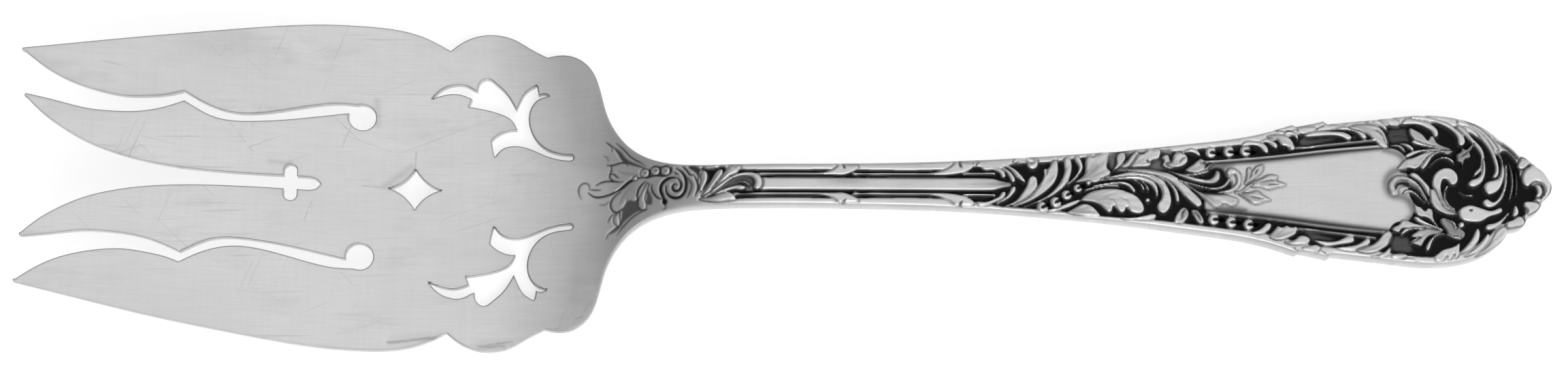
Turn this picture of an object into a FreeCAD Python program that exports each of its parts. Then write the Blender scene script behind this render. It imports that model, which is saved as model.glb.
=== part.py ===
import FreeCAD, Part
import math
import os

V = FreeCAD.Vector

# Cold meat fork, struck and pierced from one piece of silver.
# X runs from the tine tips (-) to the crest of the handle (+), Y across, Z up.
# The fork lies as it rests on a table: on the belly of its plate and on the end of its handle.

# Lengths along the fork, from the tips to the crest
tine_length = 48.5
plate_length = 36.5
neck_length = 24.0
stem_length = 33.0
spray_length = 28.0
panel_length = 35.0
crest_length = 21.0

# Widths
plate_width = 49.3
stem_width = 6.3
handle_width = 22.8
slot_width = 2.0

# Heights of the upper face above the table
tip_rise = 20.6
belly_top = 2.05
arch_top = 7.7
end_top = 3.6

# Thicknesses
tip_thickness = 1.5
plate_thickness = 2.0
stem_thickness = 3.3
end_thickness = 3.55

# Depth worn flat under the belly and the handle's end, where the fork rests
rest_wear = 0.08

# Carving
ground_depth = 0.8
relief_height = 0.95
root_sink = 0.35
panel_step = 0.15
fillet_width = 0.5
rib_width = 1.5
reed_width = 0.55
husk_radius = 0.78
husk_height = 0.85
husk_notch = 0.4
husk_floor = 0.15
hem_height = 0.76

# The fork is drawn at these stations and widths, and place() carries each drawn point to the
# real fork.
DRAWN_STATIONS = (-113.0, -64.5, -28.0, -4.0, 29.0, 57.0, 92.0, 113.0)
DRAWN_PLATE_WIDTH = 49.3
DRAWN_STEM_WIDTH = 6.3
DRAWN_HANDLE_WIDTH = 22.8

lengths = (tine_length, plate_length, neck_length, stem_length, spray_length, panel_length,
           crest_length)
overall_length = sum(lengths)
stations = [-overall_length / 2]
for length in lengths:
    stations.append(stations[-1] + length)

plate_scale = plate_width / DRAWN_PLATE_WIDTH
stem_scale = stem_width / DRAWN_STEM_WIDTH
handle_scale = handle_width / DRAWN_HANDLE_WIDTH
width_scales = (plate_scale, plate_scale, plate_scale, stem_scale, stem_scale, handle_scale,
                handle_scale, handle_scale)


def between(x, knots, values):
    """The value at x on the broken line through (knot, value) pairs."""
    for i in range(len(knots) - 1):
        if x <= knots[i + 1] or i == len(knots) - 2:
            share = (x - knots[i]) / (knots[i + 1] - knots[i])
            return values[i] + share * (values[i + 1] - values[i])


def along(x):
    return between(x, DRAWN_STATIONS, stations)


def across(x):
    return between(x, DRAWN_STATIONS, width_scales)


def place(x, y, z=0.0):
    """Carries a drawn point of the plan to the real fork."""
    return V(along(x), y * across(x), z)


def mirrored(points):
    """The same points on the other side of the axis, in reverse order."""
    return [(x, -y) for x, y in reversed(points)]


def smooth_edge(points):
    """An edge of the plan: straight through two drawn points, an arc through three, else a spline."""
    placed = [place(x, y) for x, y in points]
    if len(placed) == 2:
        return Part.LineSegment(placed[0], placed[1]).toShape()
    if len(placed) == 3:
        return Part.Arc(placed[0], placed[1], placed[2]).toShape()
    curve = Part.BSplineCurve()
    curve.interpolate(placed)
    return curve.toShape()


def prism(runs):
    """A tall solid over the plan outline made of these runs, each ending where the next starts."""
    foot = Part.Wire([smooth_edge(run) for run in runs])
    head = foot.copy()
    foot.translate(V(0, 0, -plate_thickness))
    head.translate(V(0, 0, 2 * tip_rise))
    return Part.makeLoft([foot, head], True, True)


# Side view. Heights of the upper face, and the thickness under it, by drawn station.
rise = tip_rise - belly_top
arch = arch_top - belly_top
fall = arch_top - end_top
upper_heights = (
    (-113.0, tip_rise),
    (-101.0, belly_top + 0.78 * rise),
    (-90.0, belly_top + 0.59 * rise),
    (-76.0, belly_top + 0.385 * rise),
    (-62.0, belly_top + 0.17 * rise),
    (-50.0, belly_top + 0.045 * rise),
    (-36.5, belly_top),
    (-27.0, belly_top + 0.15 * arch),
    (-19.0, belly_top + 0.6 * arch),
    (-11.0, belly_top + 0.93 * arch),
    (6.0, arch_top),
    (27.0, end_top + 0.9 * fall),
    (50.0, end_top + 0.62 * fall),
    (80.0, end_top + 0.22 * fall),
    (113.0, end_top),
)
THICKNESS_STATIONS = (-113.0, -92.0, -30.0, -14.0, 29.0, 113.0)
thicknesses = (tip_thickness, plate_thickness, plate_thickness, stem_thickness, stem_thickness,
               end_thickness)


def side_curve(drop):
    """The fork's line in side view, at a depth under its upper face."""
    curve = Part.BSplineCurve()
    curve.interpolate([V(along(x), 0, z - drop(x)) for x, z in upper_heights])
    return curve


upper_curve = side_curve(lambda x: 0.0)


def upper_height(x):
    """Height of the upper face at the real X."""
    low, high = upper_curve.FirstParameter, upper_curve.LastParameter
    for _ in range(30):
        middle = (low + high) / 2
        if upper_curve.value(middle).x < x:
            low = middle
        else:
            high = middle
    return upper_curve.value(low).z


def layer(upper_drop, lower_drop):
    """The sheet between two depths under the upper face, wider than the fork."""
    top = side_curve(upper_drop).toShape()
    bottom = side_curve(lower_drop).toShape()
    tip = Part.LineSegment(bottom.valueAt(bottom.FirstParameter),
                           top.valueAt(top.FirstParameter)).toShape()
    end = Part.LineSegment(top.valueAt(top.LastParameter),
                           bottom.valueAt(bottom.LastParameter)).toShape()
    face = Part.Face(Part.Wire([tip, top, end, bottom]))
    face.translate(V(0, -plate_width, 0))
    return face.extrude(V(0, 2 * plate_width, 0))


# Plan. The runs of the outline from the end of the middle slot to the last leaf of the edge,
# on the +Y side. The other side is the same.
half_slot = slot_width / 2
side_runs = [
    [(-70.3, 0.0), (-71.0, 0.75), (-72.3, half_slot), (-73.7, half_slot)],
    [(-73.7, half_slot), (-73.7, 1.8)],
    [(-73.7, 1.8), (-74.65, 2.75), (-75.6, 1.8)],
    [(-75.6, 1.8), (-75.6, half_slot)],
    [(-75.6, half_slot), (-84.0, half_slot + 0.05), (-92.0, 1.5), (-96.0, 2.05), (-100.0, 2.95),
     (-104.0, 4.35), (-107.0, 5.95), (-110.0, 8.05), (-112.1, 10.05)],
    [(-112.1, 10.05), (-112.4, 10.4), (-112.1, 10.65)],
    [(-112.1, 10.65), (-108.0, 9.95), (-104.0, 9.2), (-100.0, 9.05), (-96.0, 9.4), (-93.0, 10.2),
     (-90.1, 11.4)],
    [(-90.1, 11.4), (-88.0, 10.2), (-86.0, 9.3), (-83.5, 8.85), (-80.0, 8.95), (-76.0, 9.4),
     (-71.0, 10.25), (-66.44, 11.1)],
    [(-66.44, 11.1), (-62.93, 9.36), (-65.2, 12.48)],
    [(-65.2, 12.48), (-68.0, 12.5), (-71.0, 12.05), (-74.0, 11.35), (-77.0, 10.65), (-80.0, 10.15),
     (-82.0, 10.05), (-85.0, 10.5), (-87.0, 11.2), (-90.2, 12.9)],
    [(-90.2, 12.9), (-92.0, 12.3), (-95.0, 11.75), (-98.0, 11.5), (-102.0, 11.95), (-105.0, 12.7),
     (-108.0, 13.9), (-110.5, 15.4), (-112.6, 17.0)],
    [(-112.6, 17.0), (-113.0, 17.3), (-112.7, 17.5)],
    [(-112.7, 17.5), (-105.0, 19.0), (-95.0, 20.9), (-85.0, 22.55), (-75.0, 24.0), (-69.0, 24.55),
     (-64.5, 24.65), (-60.0, 24.45), (-56.0, 23.6), (-51.7, 21.55)],
    [(-51.7, 21.55), (-50.0, 22.9), (-48.0, 23.85), (-45.0, 24.2), (-42.0, 23.45), (-39.7, 22.1),
     (-37.2, 20.8)],
    [(-37.2, 20.8), (-34.7, 21.15), (-32.4, 20.5), (-30.6, 18.9), (-29.3, 16.0), (-28.2, 12.0),
     (-26.6, 8.8), (-24.0, 6.0), (-20.5, 4.2), (-16.0, 3.3), (-10.0, 3.1)],
    [(-10.0, 3.1), (2.0, 3.13), (14.0, 3.28), (27.0, 3.75), (38.0, 4.5), (50.0, 5.6), (60.0, 6.8),
     (66.0, 7.6), (70.0, 8.45), (74.3, 9.8)],
    [(74.3, 9.8), (74.9, 9.5)],
    [(74.9, 9.5), (77.0, 9.9), (79.0, 10.4)],
    [(79.0, 10.4), (79.7, 9.95)],
    [(79.7, 9.95), (84.0, 10.4), (88.0, 10.85), (92.0, 11.3), (95.0, 11.4), (98.0, 11.15),
     (100.5, 10.6), (102.7, 9.7), (104.9, 8.1)],
]

# The crest: a strip, a small leaf, the large scroll and two more leaves, from +Y round to -Y
crest_runs = [
    [(104.9, 8.1), (106.6, 6.9), (108.2, 5.3)],
    [(108.2, 5.3), (109.3, 4.9), (110.2, 4.05)],
    [(110.2, 4.05), (111.5, 3.15), (112.5, 1.9), (113.0, 0.7), (112.7, -0.5), (111.5, -1.55)],
    [(111.5, -1.55), (111.2, -2.5), (110.3, -3.5), (109.2, -4.0)],
    [(109.2, -4.0), (108.7, -5.2), (107.6, -5.9), (106.3, -6.1)],
    [(106.3, -6.1), (105.7, -7.2), (104.9, -8.1)],
]

# Piercings of the plate: the diamond, and one three-armed leaf on each side of it
diamond_runs = [
    [(-60.5, 0.0), (-58.2, 1.15), (-56.6, 3.1)],
    [(-56.6, 3.1), (-55.0, 1.15), (-52.7, 0.0)],
    [(-52.7, 0.0), (-55.0, -1.15), (-56.6, -3.1)],
    [(-56.6, -3.1), (-58.2, -1.15), (-60.5, 0.0)],
]
leaf_runs = [
    [(-54.4, 14.0), (-53.2, 15.35), (-51.2, 16.3), (-49.5, 16.3), (-48.3, 15.7)],
    [(-48.3, 15.7), (-47.6, 15.4)],
    [(-47.6, 15.4), (-47.3, 16.7), (-46.3, 17.4), (-45.0, 16.7), (-43.5, 15.3), (-41.8, 12.6)],
    [(-41.8, 12.6), (-41.2, 14.0), (-40.3, 15.5), (-38.8, 16.5)],
    [(-38.8, 16.5), (-38.6, 15.7), (-38.5, 15.0)],
    [(-38.5, 15.0), (-37.7, 15.2), (-36.9, 14.8)],
    [(-36.9, 14.8), (-38.6, 14.2), (-39.6, 12.9), (-39.9, 10.9), (-39.2, 8.6), (-37.7, 6.9),
     (-35.6, 6.0), (-33.6, 5.75)],
    [(-33.6, 5.75), (-33.15, 5.3), (-33.6, 4.85)],
    [(-33.6, 4.85), (-34.4, 4.9), (-37.5, 5.7), (-40.3, 6.85), (-42.3, 7.05), (-43.9, 6.5),
     (-44.9, 5.3)],
    [(-44.9, 5.3), (-45.2, 6.6), (-45.4, 7.9)],
    [(-45.4, 7.9), (-44.1, 9.0), (-41.6, 9.6)],
    [(-41.6, 9.6), (-42.3, 10.9), (-44.2, 12.0), (-46.4, 12.6), (-48.9, 13.0)],
    [(-48.9, 13.0), (-48.4, 14.2)],
    [(-48.4, 14.2), (-50.3, 14.85), (-52.4, 14.7), (-54.4, 14.0)],
]

# The sunk ground of the handle's carving, inside its raised edge
ground_side = [
    (-26.6, 4.6), (-23.0, 3.4), (-18.0, 2.65), (-12.0, 2.4), (-5.0, 1.98), (8.0, 1.98),
    (22.0, 2.1), (29.0, 2.7), (36.0, 3.7), (46.0, 4.7), (56.0, 5.55), (62.0, 6.15), (66.0, 6.45),
    (70.0, 6.9), (74.0, 7.9), (80.0, 8.9), (88.0, 9.6), (94.0, 10.2), (98.0, 9.8), (102.0, 8.0),
    (105.0, 5.2),
]
ground_runs = [
    ground_side,
    [(105.0, 5.2), (107.2, 2.6), (107.9, 0.0), (107.2, -2.6), (105.0, -5.2)],
    mirrored(ground_side),
    [(-26.6, -4.6), (-24.6, 0.0), (-26.6, 4.6)],
]

# The bare panel of the handle, an island in the ground, with a fillet along each side of it and
# a lower one, the hem, outside its wider half
panel_runs = [
    [(61.5, 3.85), (74.0, 5.25), (88.3, 6.65)],
    [(88.3, 6.65), (90.2, 5.4), (91.0, 3.0), (90.6, 0.0), (91.0, -3.0), (90.2, -5.4), (88.3, -6.65)],
    [(88.3, -6.65), (74.0, -5.25), (61.5, -3.85)],
    [(61.5, -3.85), (61.5, 3.85)],
]
fillet_line = [(61.6, 3.95), (74.0, 5.35), (88.2, 6.7)]
hem_line = [(74.0, 6.1), (80.0, 6.85), (86.5, 7.5)]

# The stem's middle rib, and the reed on each side of it
rib_line = [(-5.0, 0.0), (13.0, 0.0), (31.0, 0.0)]
reed_line = [(-7.0, 1.35), (12.0, 1.35), (28.0, 1.35)]

# A lobe is drawn by its centre line, from root to tip, and its greatest width.
neck_lobes = [
    ([(-24.2, 1.2), (-27.5, 0.6), (-30.3, 0.1)], 1.4),
    ([(-24.0, 2.2), (-25.6, 2.8), (-27.3, 3.3)], 2.0),
    ([(-25.0, 4.0), (-26.2, 4.7), (-27.8, 5.4)], 1.5),
    ([(-22.4, 1.0), (-24.9, -0.4), (-26.5, -3.0)], 1.9),
    ([(-22.1, 1.0), (-22.95, -0.9), (-22.6, -3.0)], 0.95),
    ([(-25.9, -2.9), (-26.4, -4.2), (-27.0, -5.6)], 1.2),
    ([(-21.4, 1.4), (-21.1, -0.2), (-20.0, -1.6)], 1.1),
    ([(-18.3, 2.6), (-16.6, 1.5), (-16.2, -0.7), (-17.6, -2.0), (-19.3, -1.2)], 0.75),
    ([(-16.2, -1.9), (-15.1, -0.3), (-15.4, 1.6)], 1.3),
    ([(-14.2, -0.9), (-13.3, 0.3), (-13.4, 2.0)], 1.1),
    ([(-13.7, -1.8), (-12.2, 0.2), (-10.9, 2.1)], 1.0),
    ([(-12.3, -0.8), (-10.2, 1.1), (-8.3, 2.4)], 1.2),
    ([(-12.0, -1.3), (-9.4, 0.9), (-6.6, 1.45), (-5.3, 0.4), (-5.5, -0.7)], 0.9),
    ([(-11.2, -1.0), (-9.3, -0.5), (-7.4, -0.5)], 0.8),
    ([(-13.4, -2.1), (-11.0, -1.7), (-9.1, -2.0)], 1.0),
]

# Pairs of folded leaf tips on the stem's reeds, and the pairs that close its rib
stem_lobes = [
    ([(4.6, 1.45), (6.8, 1.85), (9.2, 2.4)], 1.2),
    ([(21.2, 1.5), (23.9, 2.2), (26.6, 2.9)], 1.4),
    ([(26.6, 2.7), (29.4, 2.3), (31.1, 1.0)], 0.85),
    ([(30.3, 2.3), (31.9, 1.5), (32.7, 0.5)], 0.85),
]

spray_lobes = [
    ([(28.5, 3.1), (31.8, 2.5), (34.2, 0.5)], 0.8),
    ([(33.2, 3.4), (34.6, 3.3), (36.1, 3.1)], 1.5),
    ([(29.5, -3.1), (33.6, -1.9), (35.5, 1.2)], 1.1),
    ([(31.5, -3.3), (35.9, -1.4), (37.9, 1.2), (38.8, 3.7)], 2.1),
    ([(34.0, -3.2), (38.3, -1.0), (40.6, 1.7), (40.4, 4.0)], 1.0),
    ([(40.6, 0.7), (42.2, 2.3), (41.8, 4.3)], 0.75),
    ([(42.4, 1.7), (43.3, 3.0), (43.8, 4.5)], 0.7),
    ([(43.8, 0.6), (45.3, 2.4), (46.5, 4.8)], 2.3),
    ([(37.0, -4.1), (39.6, -3.3), (42.2, -2.5)], 0.9),
    ([(40.2, -4.2), (42.8, -3.5), (45.2, -4.4)], 1.0),
    ([(42.2, -1.6), (46.6, -1.5), (51.2, -3.3)], 2.3),
    ([(44.6, -1.9), (45.9, -2.9), (46.8, -3.9)], 1.0),
    ([(46.8, -2.2), (47.7, -3.1), (48.4, -3.9)], 0.9),
    ([(44.3, 0.0), (47.8, 0.25), (50.3, -0.8)], 0.6),
    ([(46.4, 1.2), (50.5, 1.6), (53.4, 0.0), (53.8, -1.6)], 0.85),
    ([(46.8, 2.0), (51.4, 2.1), (54.9, -0.4), (55.1, -3.6)], 1.5),
    ([(52.4, 2.4), (55.4, 1.2), (57.9, -0.9), (60.2, -2.8)], 1.3),
    ([(48.2, 2.8), (51.2, 3.9), (54.1, 5.2)], 1.8),
    ([(47.6, 3.4), (49.0, 4.2), (50.6, 5.3)], 0.8),
    ([(55.4, 3.5), (56.9, 4.0), (58.3, 4.8)], 1.8),
    ([(48.4, -4.9), (51.2, -4.8), (53.6, -4.4)], 0.8),
    ([(56.4, -3.0), (57.4, -3.9), (57.2, -5.0)], 1.2),
    ([(58.9, -3.1), (59.2, -3.9), (59.2, -4.7)], 0.7),
    ([(58.2, 2.9), (60.1, 3.4), (62.2, 4.0)], 1.6),
    ([(55.6, 2.3), (59.6, 1.1), (62.6, 0.9), (63.2, 2.3)], 0.75),
    ([(57.4, 0.9), (61.4, -0.1), (64.5, 1.1)], 0.45),
    ([(58.9, -0.3), (61.0, -1.5), (62.7, -2.8)], 1.2),
    ([(61.2, -0.8), (63.4, -1.5), (65.8, -2.1)], 1.8),
]

# The scroll and the three-leaf sprig laid on the panel
sprig_lobes = [
    ([(63.8, -0.95), (65.8, 0.2), (66.2, 1.9), (64.7, 2.4)], 1.0),
    ([(66.2, -0.6), (67.3, 1.2), (69.5, 3.3)], 1.2),
    ([(66.4, -0.6), (69.4, 0.7), (72.7, 0.3)], 1.1),
    ([(66.2, -0.9), (68.2, -1.4), (70.4, -1.7)], 1.3),
]

# Acanthus of the long edges; the same on both sides
edge_lobes = [
    ([(66.0, 7.0), (68.6, 6.6), (70.4, 5.5)], 1.0),
    ([(70.0, 7.1), (71.0, 6.8), (71.8, 6.1)], 0.7),
    ([(70.4, 7.8), (72.6, 7.0), (74.1, 6.1)], 1.6),
    ([(73.0, 8.6), (74.7, 8.1), (76.2, 8.1)], 1.0),
    ([(74.8, 9.2), (76.4, 9.0), (77.6, 9.2)], 1.0),
    ([(76.6, 8.4), (79.8, 8.4), (82.9, 7.7)], 0.9),
    ([(80.2, 9.2), (83.4, 8.8), (85.3, 7.8)], 0.75),
    ([(82.4, 9.5), (86.2, 8.6), (88.3, 6.7)], 1.7),
    ([(85.6, 10.2), (87.5, 9.8), (88.5, 9.1)], 0.6),
    ([(87.0, 10.4), (89.0, 10.1), (90.3, 9.8)], 1.1),
]

end_lobes = [
    ([(94.4, -0.9), (92.5, 1.4), (90.2, 1.6), (88.9, 0.5), (89.4, -0.6)], 0.9),
    ([(94.7, -1.0), (93.6, 1.2), (92.1, 2.3)], 1.0),
    ([(94.6, -2.2), (92.6, -0.6), (90.9, -0.6)], 0.7),
    ([(95.0, 0.0), (96.2, -2.1), (98.4, -3.7)], 1.3),
    ([(98.5, -3.4), (96.5, -1.2), (96.0, 1.2), (97.4, 2.4), (98.4, 1.3)], 1.2),
    ([(94.9, 3.5), (96.4, 4.5), (98.2, 4.2)], 0.45),
    ([(98.3, 5.8), (95.5, 6.6), (92.4, 7.2)], 0.8),
    ([(96.3, 6.9), (94.2, 7.9), (92.1, 9.1)], 1.3),
    ([(97.8, 5.9), (95.0, 6.0), (91.5, 5.1)], 0.8),
    ([(97.4, 5.7), (94.0, 5.2), (90.1, 3.4)], 1.2),
    ([(98.0, 5.8), (95.4, 4.9), (93.8, 3.4)], 0.8),
    ([(96.9, -6.5), (95.4, -4.8), (94.5, -3.1)], 0.8),
    ([(96.3, -6.0), (93.9, -4.0), (92.4, -2.2)], 1.4),
    ([(95.7, -5.9), (92.0, -5.3), (88.9, -6.2)], 1.1),
    ([(96.9, -6.6), (94.2, -6.3), (91.9, -7.0)], 0.9),
    ([(96.5, -6.8), (94.7, -7.6), (93.9, -9.0)], 0.8),
    ([(96.2, -4.7), (97.6, -6.2), (99.4, -7.4)], 1.3),
    ([(91.0, 10.3), (94.4, 10.0), (96.0, 8.6)], 0.85),
    ([(94.0, 10.8), (98.0, 9.6), (99.6, 7.0)], 1.0),
    ([(97.0, 10.6), (102.0, 8.0), (104.5, 4.6), (104.4, 2.0)], 0.95),
    ([(99.2, 9.1), (102.0, 6.9), (102.7, 4.2), (101.5, 2.6)], 0.75),
    ([(102.8, 3.6), (102.3, 1.6), (100.2, 0.4)], 1.2),
    ([(105.3, 2.6), (104.7, 1.0), (103.3, -0.3)], 1.6),
    ([(105.9, -0.4), (104.9, -1.7), (102.8, -2.1)], 1.1),
    ([(105.6, -3.0), (102.8, -3.9), (98.9, -3.6)], 2.2),
    ([(105.8, -3.9), (104.7, -5.2), (103.0, -5.7)], 0.8),
    ([(99.3, -9.5), (100.8, -8.2), (101.6, -6.2)], 1.1),
    ([(101.2, -9.6), (102.6, -8.6), (103.2, -7.3)], 0.9),
    ([(103.0, -8.8), (104.4, -7.3), (105.6, -5.9)], 1.2),
    ([(95.4, -10.5), (97.1, -9.7), (98.6, -8.6)], 1.7),
    ([(106.4, 4.4), (107.7, 4.5), (109.6, 4.2)], 1.1),
    ([(105.3, 7.2), (106.7, 6.2), (107.9, 5.0)], 0.7),
    ([(109.1, 0.9), (109.6, 2.3), (111.3, 2.2), (112.0, 0.4), (110.8, -1.1)], 1.5),
    ([(108.2, -2.2), (109.6, -2.7), (110.9, -2.3)], 1.4),
    ([(106.2, -5.2), (107.5, -4.8), (108.7, -4.3)], 1.3),
]

# Husks: round buds with an open mouth, drawn by centre and the direction of the mouth
husks = [
    ((-22.4, 2.3), 0.68, 20), ((-20.75, 2.55), 0.75, 0), ((-19.2, 2.4), 0.8, -20),
    ((36.6, -3.3), 1.0, 35), ((38.6, -2.6), 1.0, 35), ((40.3, -1.45), 0.95, 35),
    ((42.0, -0.45), 0.85, 35),
    ((62.0, 5.3), 1.0, 5), ((64.7, 5.45), 1.0, 5), ((67.1, 5.6), 1.0, 5),
    ((62.1, -4.9), 1.0, -5), ((64.8, -5.3), 1.0, -5), ((67.3, -5.6), 1.0, -5),
]
beads = [((-23.85, 1.7), 0.45), ((-17.9, 0.1), 0.8), ((43.6, 0.35), 0.5), ((52.4, -2.2), 0.55),
         ((99.2, -5.4), 0.6)]

# Shares of a lobe's length, with its width and height there as shares of the greatest
LOBE_FORM = ((0.0, 0.45, 0.6), (0.42, 0.9, 0.95), (0.82, 1.0, 1.0), (1.0, 0.4, 0.65))
SCROLL_FORM = ((0.0, 0.4, 0.6), (0.22, 0.75, 0.9), (0.45, 1.0, 1.0), (0.68, 1.0, 1.0),
               (0.88, 0.9, 0.95), (1.0, 0.5, 0.7))
RIDGE_FORM = ((0.0, 1.0, 1.0), (0.5, 1.0, 1.0), (1.0, 1.0, 1.0))
SHOULDER_SHARE = 0.5

# Shares of a bud's radius, with their height over the ground
BUD_SIDES = 8
BUD_FORM = ((1.0, -root_sink), (1.0, 0.45 * husk_height), (0.5, husk_height))


def ridge(points, width, height, form):
    """A ridge on the ground along a drawn centre line, with five-cornered sections."""
    line = Part.BSplineCurve()
    line.interpolate([place(x, y) for x, y in points])
    first, last = line.FirstParameter, line.LastParameter
    sections = []
    for share, width_share, height_share in form:
        u = first + share * (last - first)
        centre = line.value(u)
        tangent = line.tangent(u)[0]
        side = V(-tangent.y, tangent.x, 0)
        half = width * width_share / 2
        ground = upper_height(centre.x) - ground_depth
        crown = ground + height * height_share
        shoulder = ground + height * height_share * SHOULDER_SHARE
        base = ground - root_sink
        corners = [(-half, base), (-half, shoulder), (0.0, crown), (half, shoulder), (half, base)]
        ring = [centre + side * offset + V(0, 0, z) for offset, z in corners]
        sections.append(Part.makePolygon(ring + ring[:1]))
    return Part.makeLoft(sections, True, True)


def lobe(points, width):
    form = LOBE_FORM if len(points) == 3 else SCROLL_FORM
    middle = points[len(points) // 2]
    return ridge(points, width * across(middle[0]), relief_height, form)


def bud(centre, radius):
    """A low bud on the ground, cut in flat sides as a chaser's punch leaves it."""
    foot = place(centre[0], centre[1])
    ground = upper_height(foot.x) - ground_depth
    rings = []
    for share, z in BUD_FORM:
        ring = []
        for side in range(BUD_SIDES + 1):
            angle = 2 * math.pi * side / BUD_SIDES
            reach = V(math.cos(angle), math.sin(angle), 0) * radius * share
            ring.append(V(foot.x, foot.y, ground + z) + reach)
        rings.append(Part.makePolygon(ring))
    return Part.makeLoft(rings, True, True)


def husk(centre, size, mouth):
    """A bud with a notch from its middle to its edge."""
    radius = husk_radius * size
    foot = place(centre[0], centre[1])
    height = upper_height(foot.x) - ground_depth
    notch = Part.makeBox(2 * radius, husk_notch, 2 * husk_height, V(0, -husk_notch / 2, husk_floor))
    notch.rotate(V(0, 0, 0), V(0, 0, 1), mouth)
    notch.translate(V(foot.x, foot.y, height))
    return bud(centre, radius).cut(notch)


def carving():
    """All that stands on the ground of the handle."""
    pieces = []
    island = prism(panel_runs)
    pieces.append(island.common(layer(lambda x: panel_step, lambda x: ground_depth + root_sink)))
    pieces.append(ridge(rib_line, rib_width * stem_scale, relief_height, RIDGE_FORM))
    for sided in (list, mirrored):
        pieces.append(ridge(sided(reed_line), reed_width * stem_scale, relief_height, RIDGE_FORM))
        pieces.append(ridge(sided(fillet_line), fillet_width, relief_height, RIDGE_FORM))
        pieces.append(ridge(sided(hem_line), fillet_width, hem_height, RIDGE_FORM))
    for points, width in stem_lobes + edge_lobes:
        pieces.append(lobe(points, width))
        pieces.append(lobe([(x, -y) for x, y in points], width))
    for points, width in neck_lobes + spray_lobes + sprig_lobes + end_lobes:
        pieces.append(lobe(points, width))
    for centre, size, mouth in husks:
        pieces.append(husk(centre, size, mouth))
    for centre, radius in beads:
        pieces.append(bud(centre, radius))
    return pieces


def fork():
    """The sheet is sunk and carved, then cut to its outline and pierced."""
    outline = side_runs + crest_runs + [mirrored(run) for run in reversed(side_runs)]
    other_leaf = [mirrored(run) for run in reversed(leaf_runs)]
    sheet = layer(lambda x: 0.0, lambda x: between(x, THICKNESS_STATIONS, thicknesses))
    reach = sheet.optimalBoundingBox(False)
    worn = Part.makeBox(reach.XLength, reach.YLength, plate_thickness,
                        V(reach.XMin, reach.YMin, reach.ZMin + rest_wear - plate_thickness))
    sheet = sheet.cut(worn)
    ground = prism(ground_runs).common(layer(lambda x: -2 * relief_height, lambda x: ground_depth))
    body = sheet.cut(ground)
    body = body.fuse(carving())
    body = body.common(prism(outline))
    for piercing in (diamond_runs, leaf_runs, other_leaf):
        body = body.cut(prism(piercing))
    box = body.optimalBoundingBox(False)
    body.translate(V(-box.Center.x, -box.Center.y, -box.ZMin))
    return body


os.makedirs("parts", exist_ok=True)
fork().Solids[0].exportStep("parts/meat_fork.step")
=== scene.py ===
import math
from collections import namedtuple

import bpy
import numpy as np
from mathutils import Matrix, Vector
from mathutils.geometry import delaunay_2d_cdt
from mathutils.kdtree import KDTree


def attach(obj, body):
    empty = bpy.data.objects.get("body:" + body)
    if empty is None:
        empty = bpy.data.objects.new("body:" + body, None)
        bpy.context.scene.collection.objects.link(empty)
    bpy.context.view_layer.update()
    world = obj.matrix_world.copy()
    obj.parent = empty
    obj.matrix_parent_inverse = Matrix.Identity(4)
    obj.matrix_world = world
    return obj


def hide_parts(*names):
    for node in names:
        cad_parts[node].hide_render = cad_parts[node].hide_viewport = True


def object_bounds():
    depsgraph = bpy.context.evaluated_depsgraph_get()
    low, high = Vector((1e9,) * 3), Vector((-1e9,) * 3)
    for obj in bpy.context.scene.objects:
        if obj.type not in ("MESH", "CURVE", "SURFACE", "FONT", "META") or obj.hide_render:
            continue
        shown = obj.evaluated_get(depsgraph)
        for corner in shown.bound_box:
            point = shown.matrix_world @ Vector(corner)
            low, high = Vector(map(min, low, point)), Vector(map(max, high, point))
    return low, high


bl_info = {
    "name": "Cold meat fork",
    "version": (1, 0, 0),
    "blender": (4, 5, 0),
    "location": "View3D > Sidebar > Fork",
    "description": "A pierced silver cold meat fork with a carved handle, and the table it lies on",
    "category": "Object",
}

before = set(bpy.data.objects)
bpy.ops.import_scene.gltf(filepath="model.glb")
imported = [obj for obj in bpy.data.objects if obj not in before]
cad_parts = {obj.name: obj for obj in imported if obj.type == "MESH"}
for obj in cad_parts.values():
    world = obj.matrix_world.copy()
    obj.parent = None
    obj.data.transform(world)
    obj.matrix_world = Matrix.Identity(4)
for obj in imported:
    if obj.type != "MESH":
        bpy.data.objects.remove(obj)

# Drawn lengths are in millimetres, along X from the tine tips to the crest, and Y across.
MM = 0.001
NODE = "meat_fork"
cad_low, cad_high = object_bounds()
tip_height = cad_high.z / MM

# Side view: drawn station and height of the upper face, as shares of the rise to the tips
BELLY_TOP = 2.05
ARCH_TOP = 7.7
END_TOP = 3.6
DRAWN_TIP = 20.6
LIFT = tip_height - DRAWN_TIP
RISE = DRAWN_TIP - BELLY_TOP
ARCH = ARCH_TOP - BELLY_TOP
FALL = ARCH_TOP - END_TOP
UPPER_HEIGHTS = (
    (-113.0, DRAWN_TIP),
    (-101.0, BELLY_TOP + 0.78 * RISE),
    (-90.0, BELLY_TOP + 0.59 * RISE),
    (-76.0, BELLY_TOP + 0.385 * RISE),
    (-62.0, BELLY_TOP + 0.17 * RISE),
    (-50.0, BELLY_TOP + 0.045 * RISE),
    (-36.5, BELLY_TOP),
    (-27.0, BELLY_TOP + 0.15 * ARCH),
    (-19.0, BELLY_TOP + 0.6 * ARCH),
    (-11.0, BELLY_TOP + 0.93 * ARCH),
    (6.0, ARCH_TOP),
    (27.0, END_TOP + 0.9 * FALL),
    (50.0, END_TOP + 0.62 * FALL),
    (80.0, END_TOP + 0.22 * FALL),
    (113.0, END_TOP),
)
THICKNESS_STATIONS = (-113.0, -92.0, -30.0, -14.0, 29.0, 113.0)
THICKNESSES = (1.5, 2.0, 2.0, 3.3, 3.3, 3.55)

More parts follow.
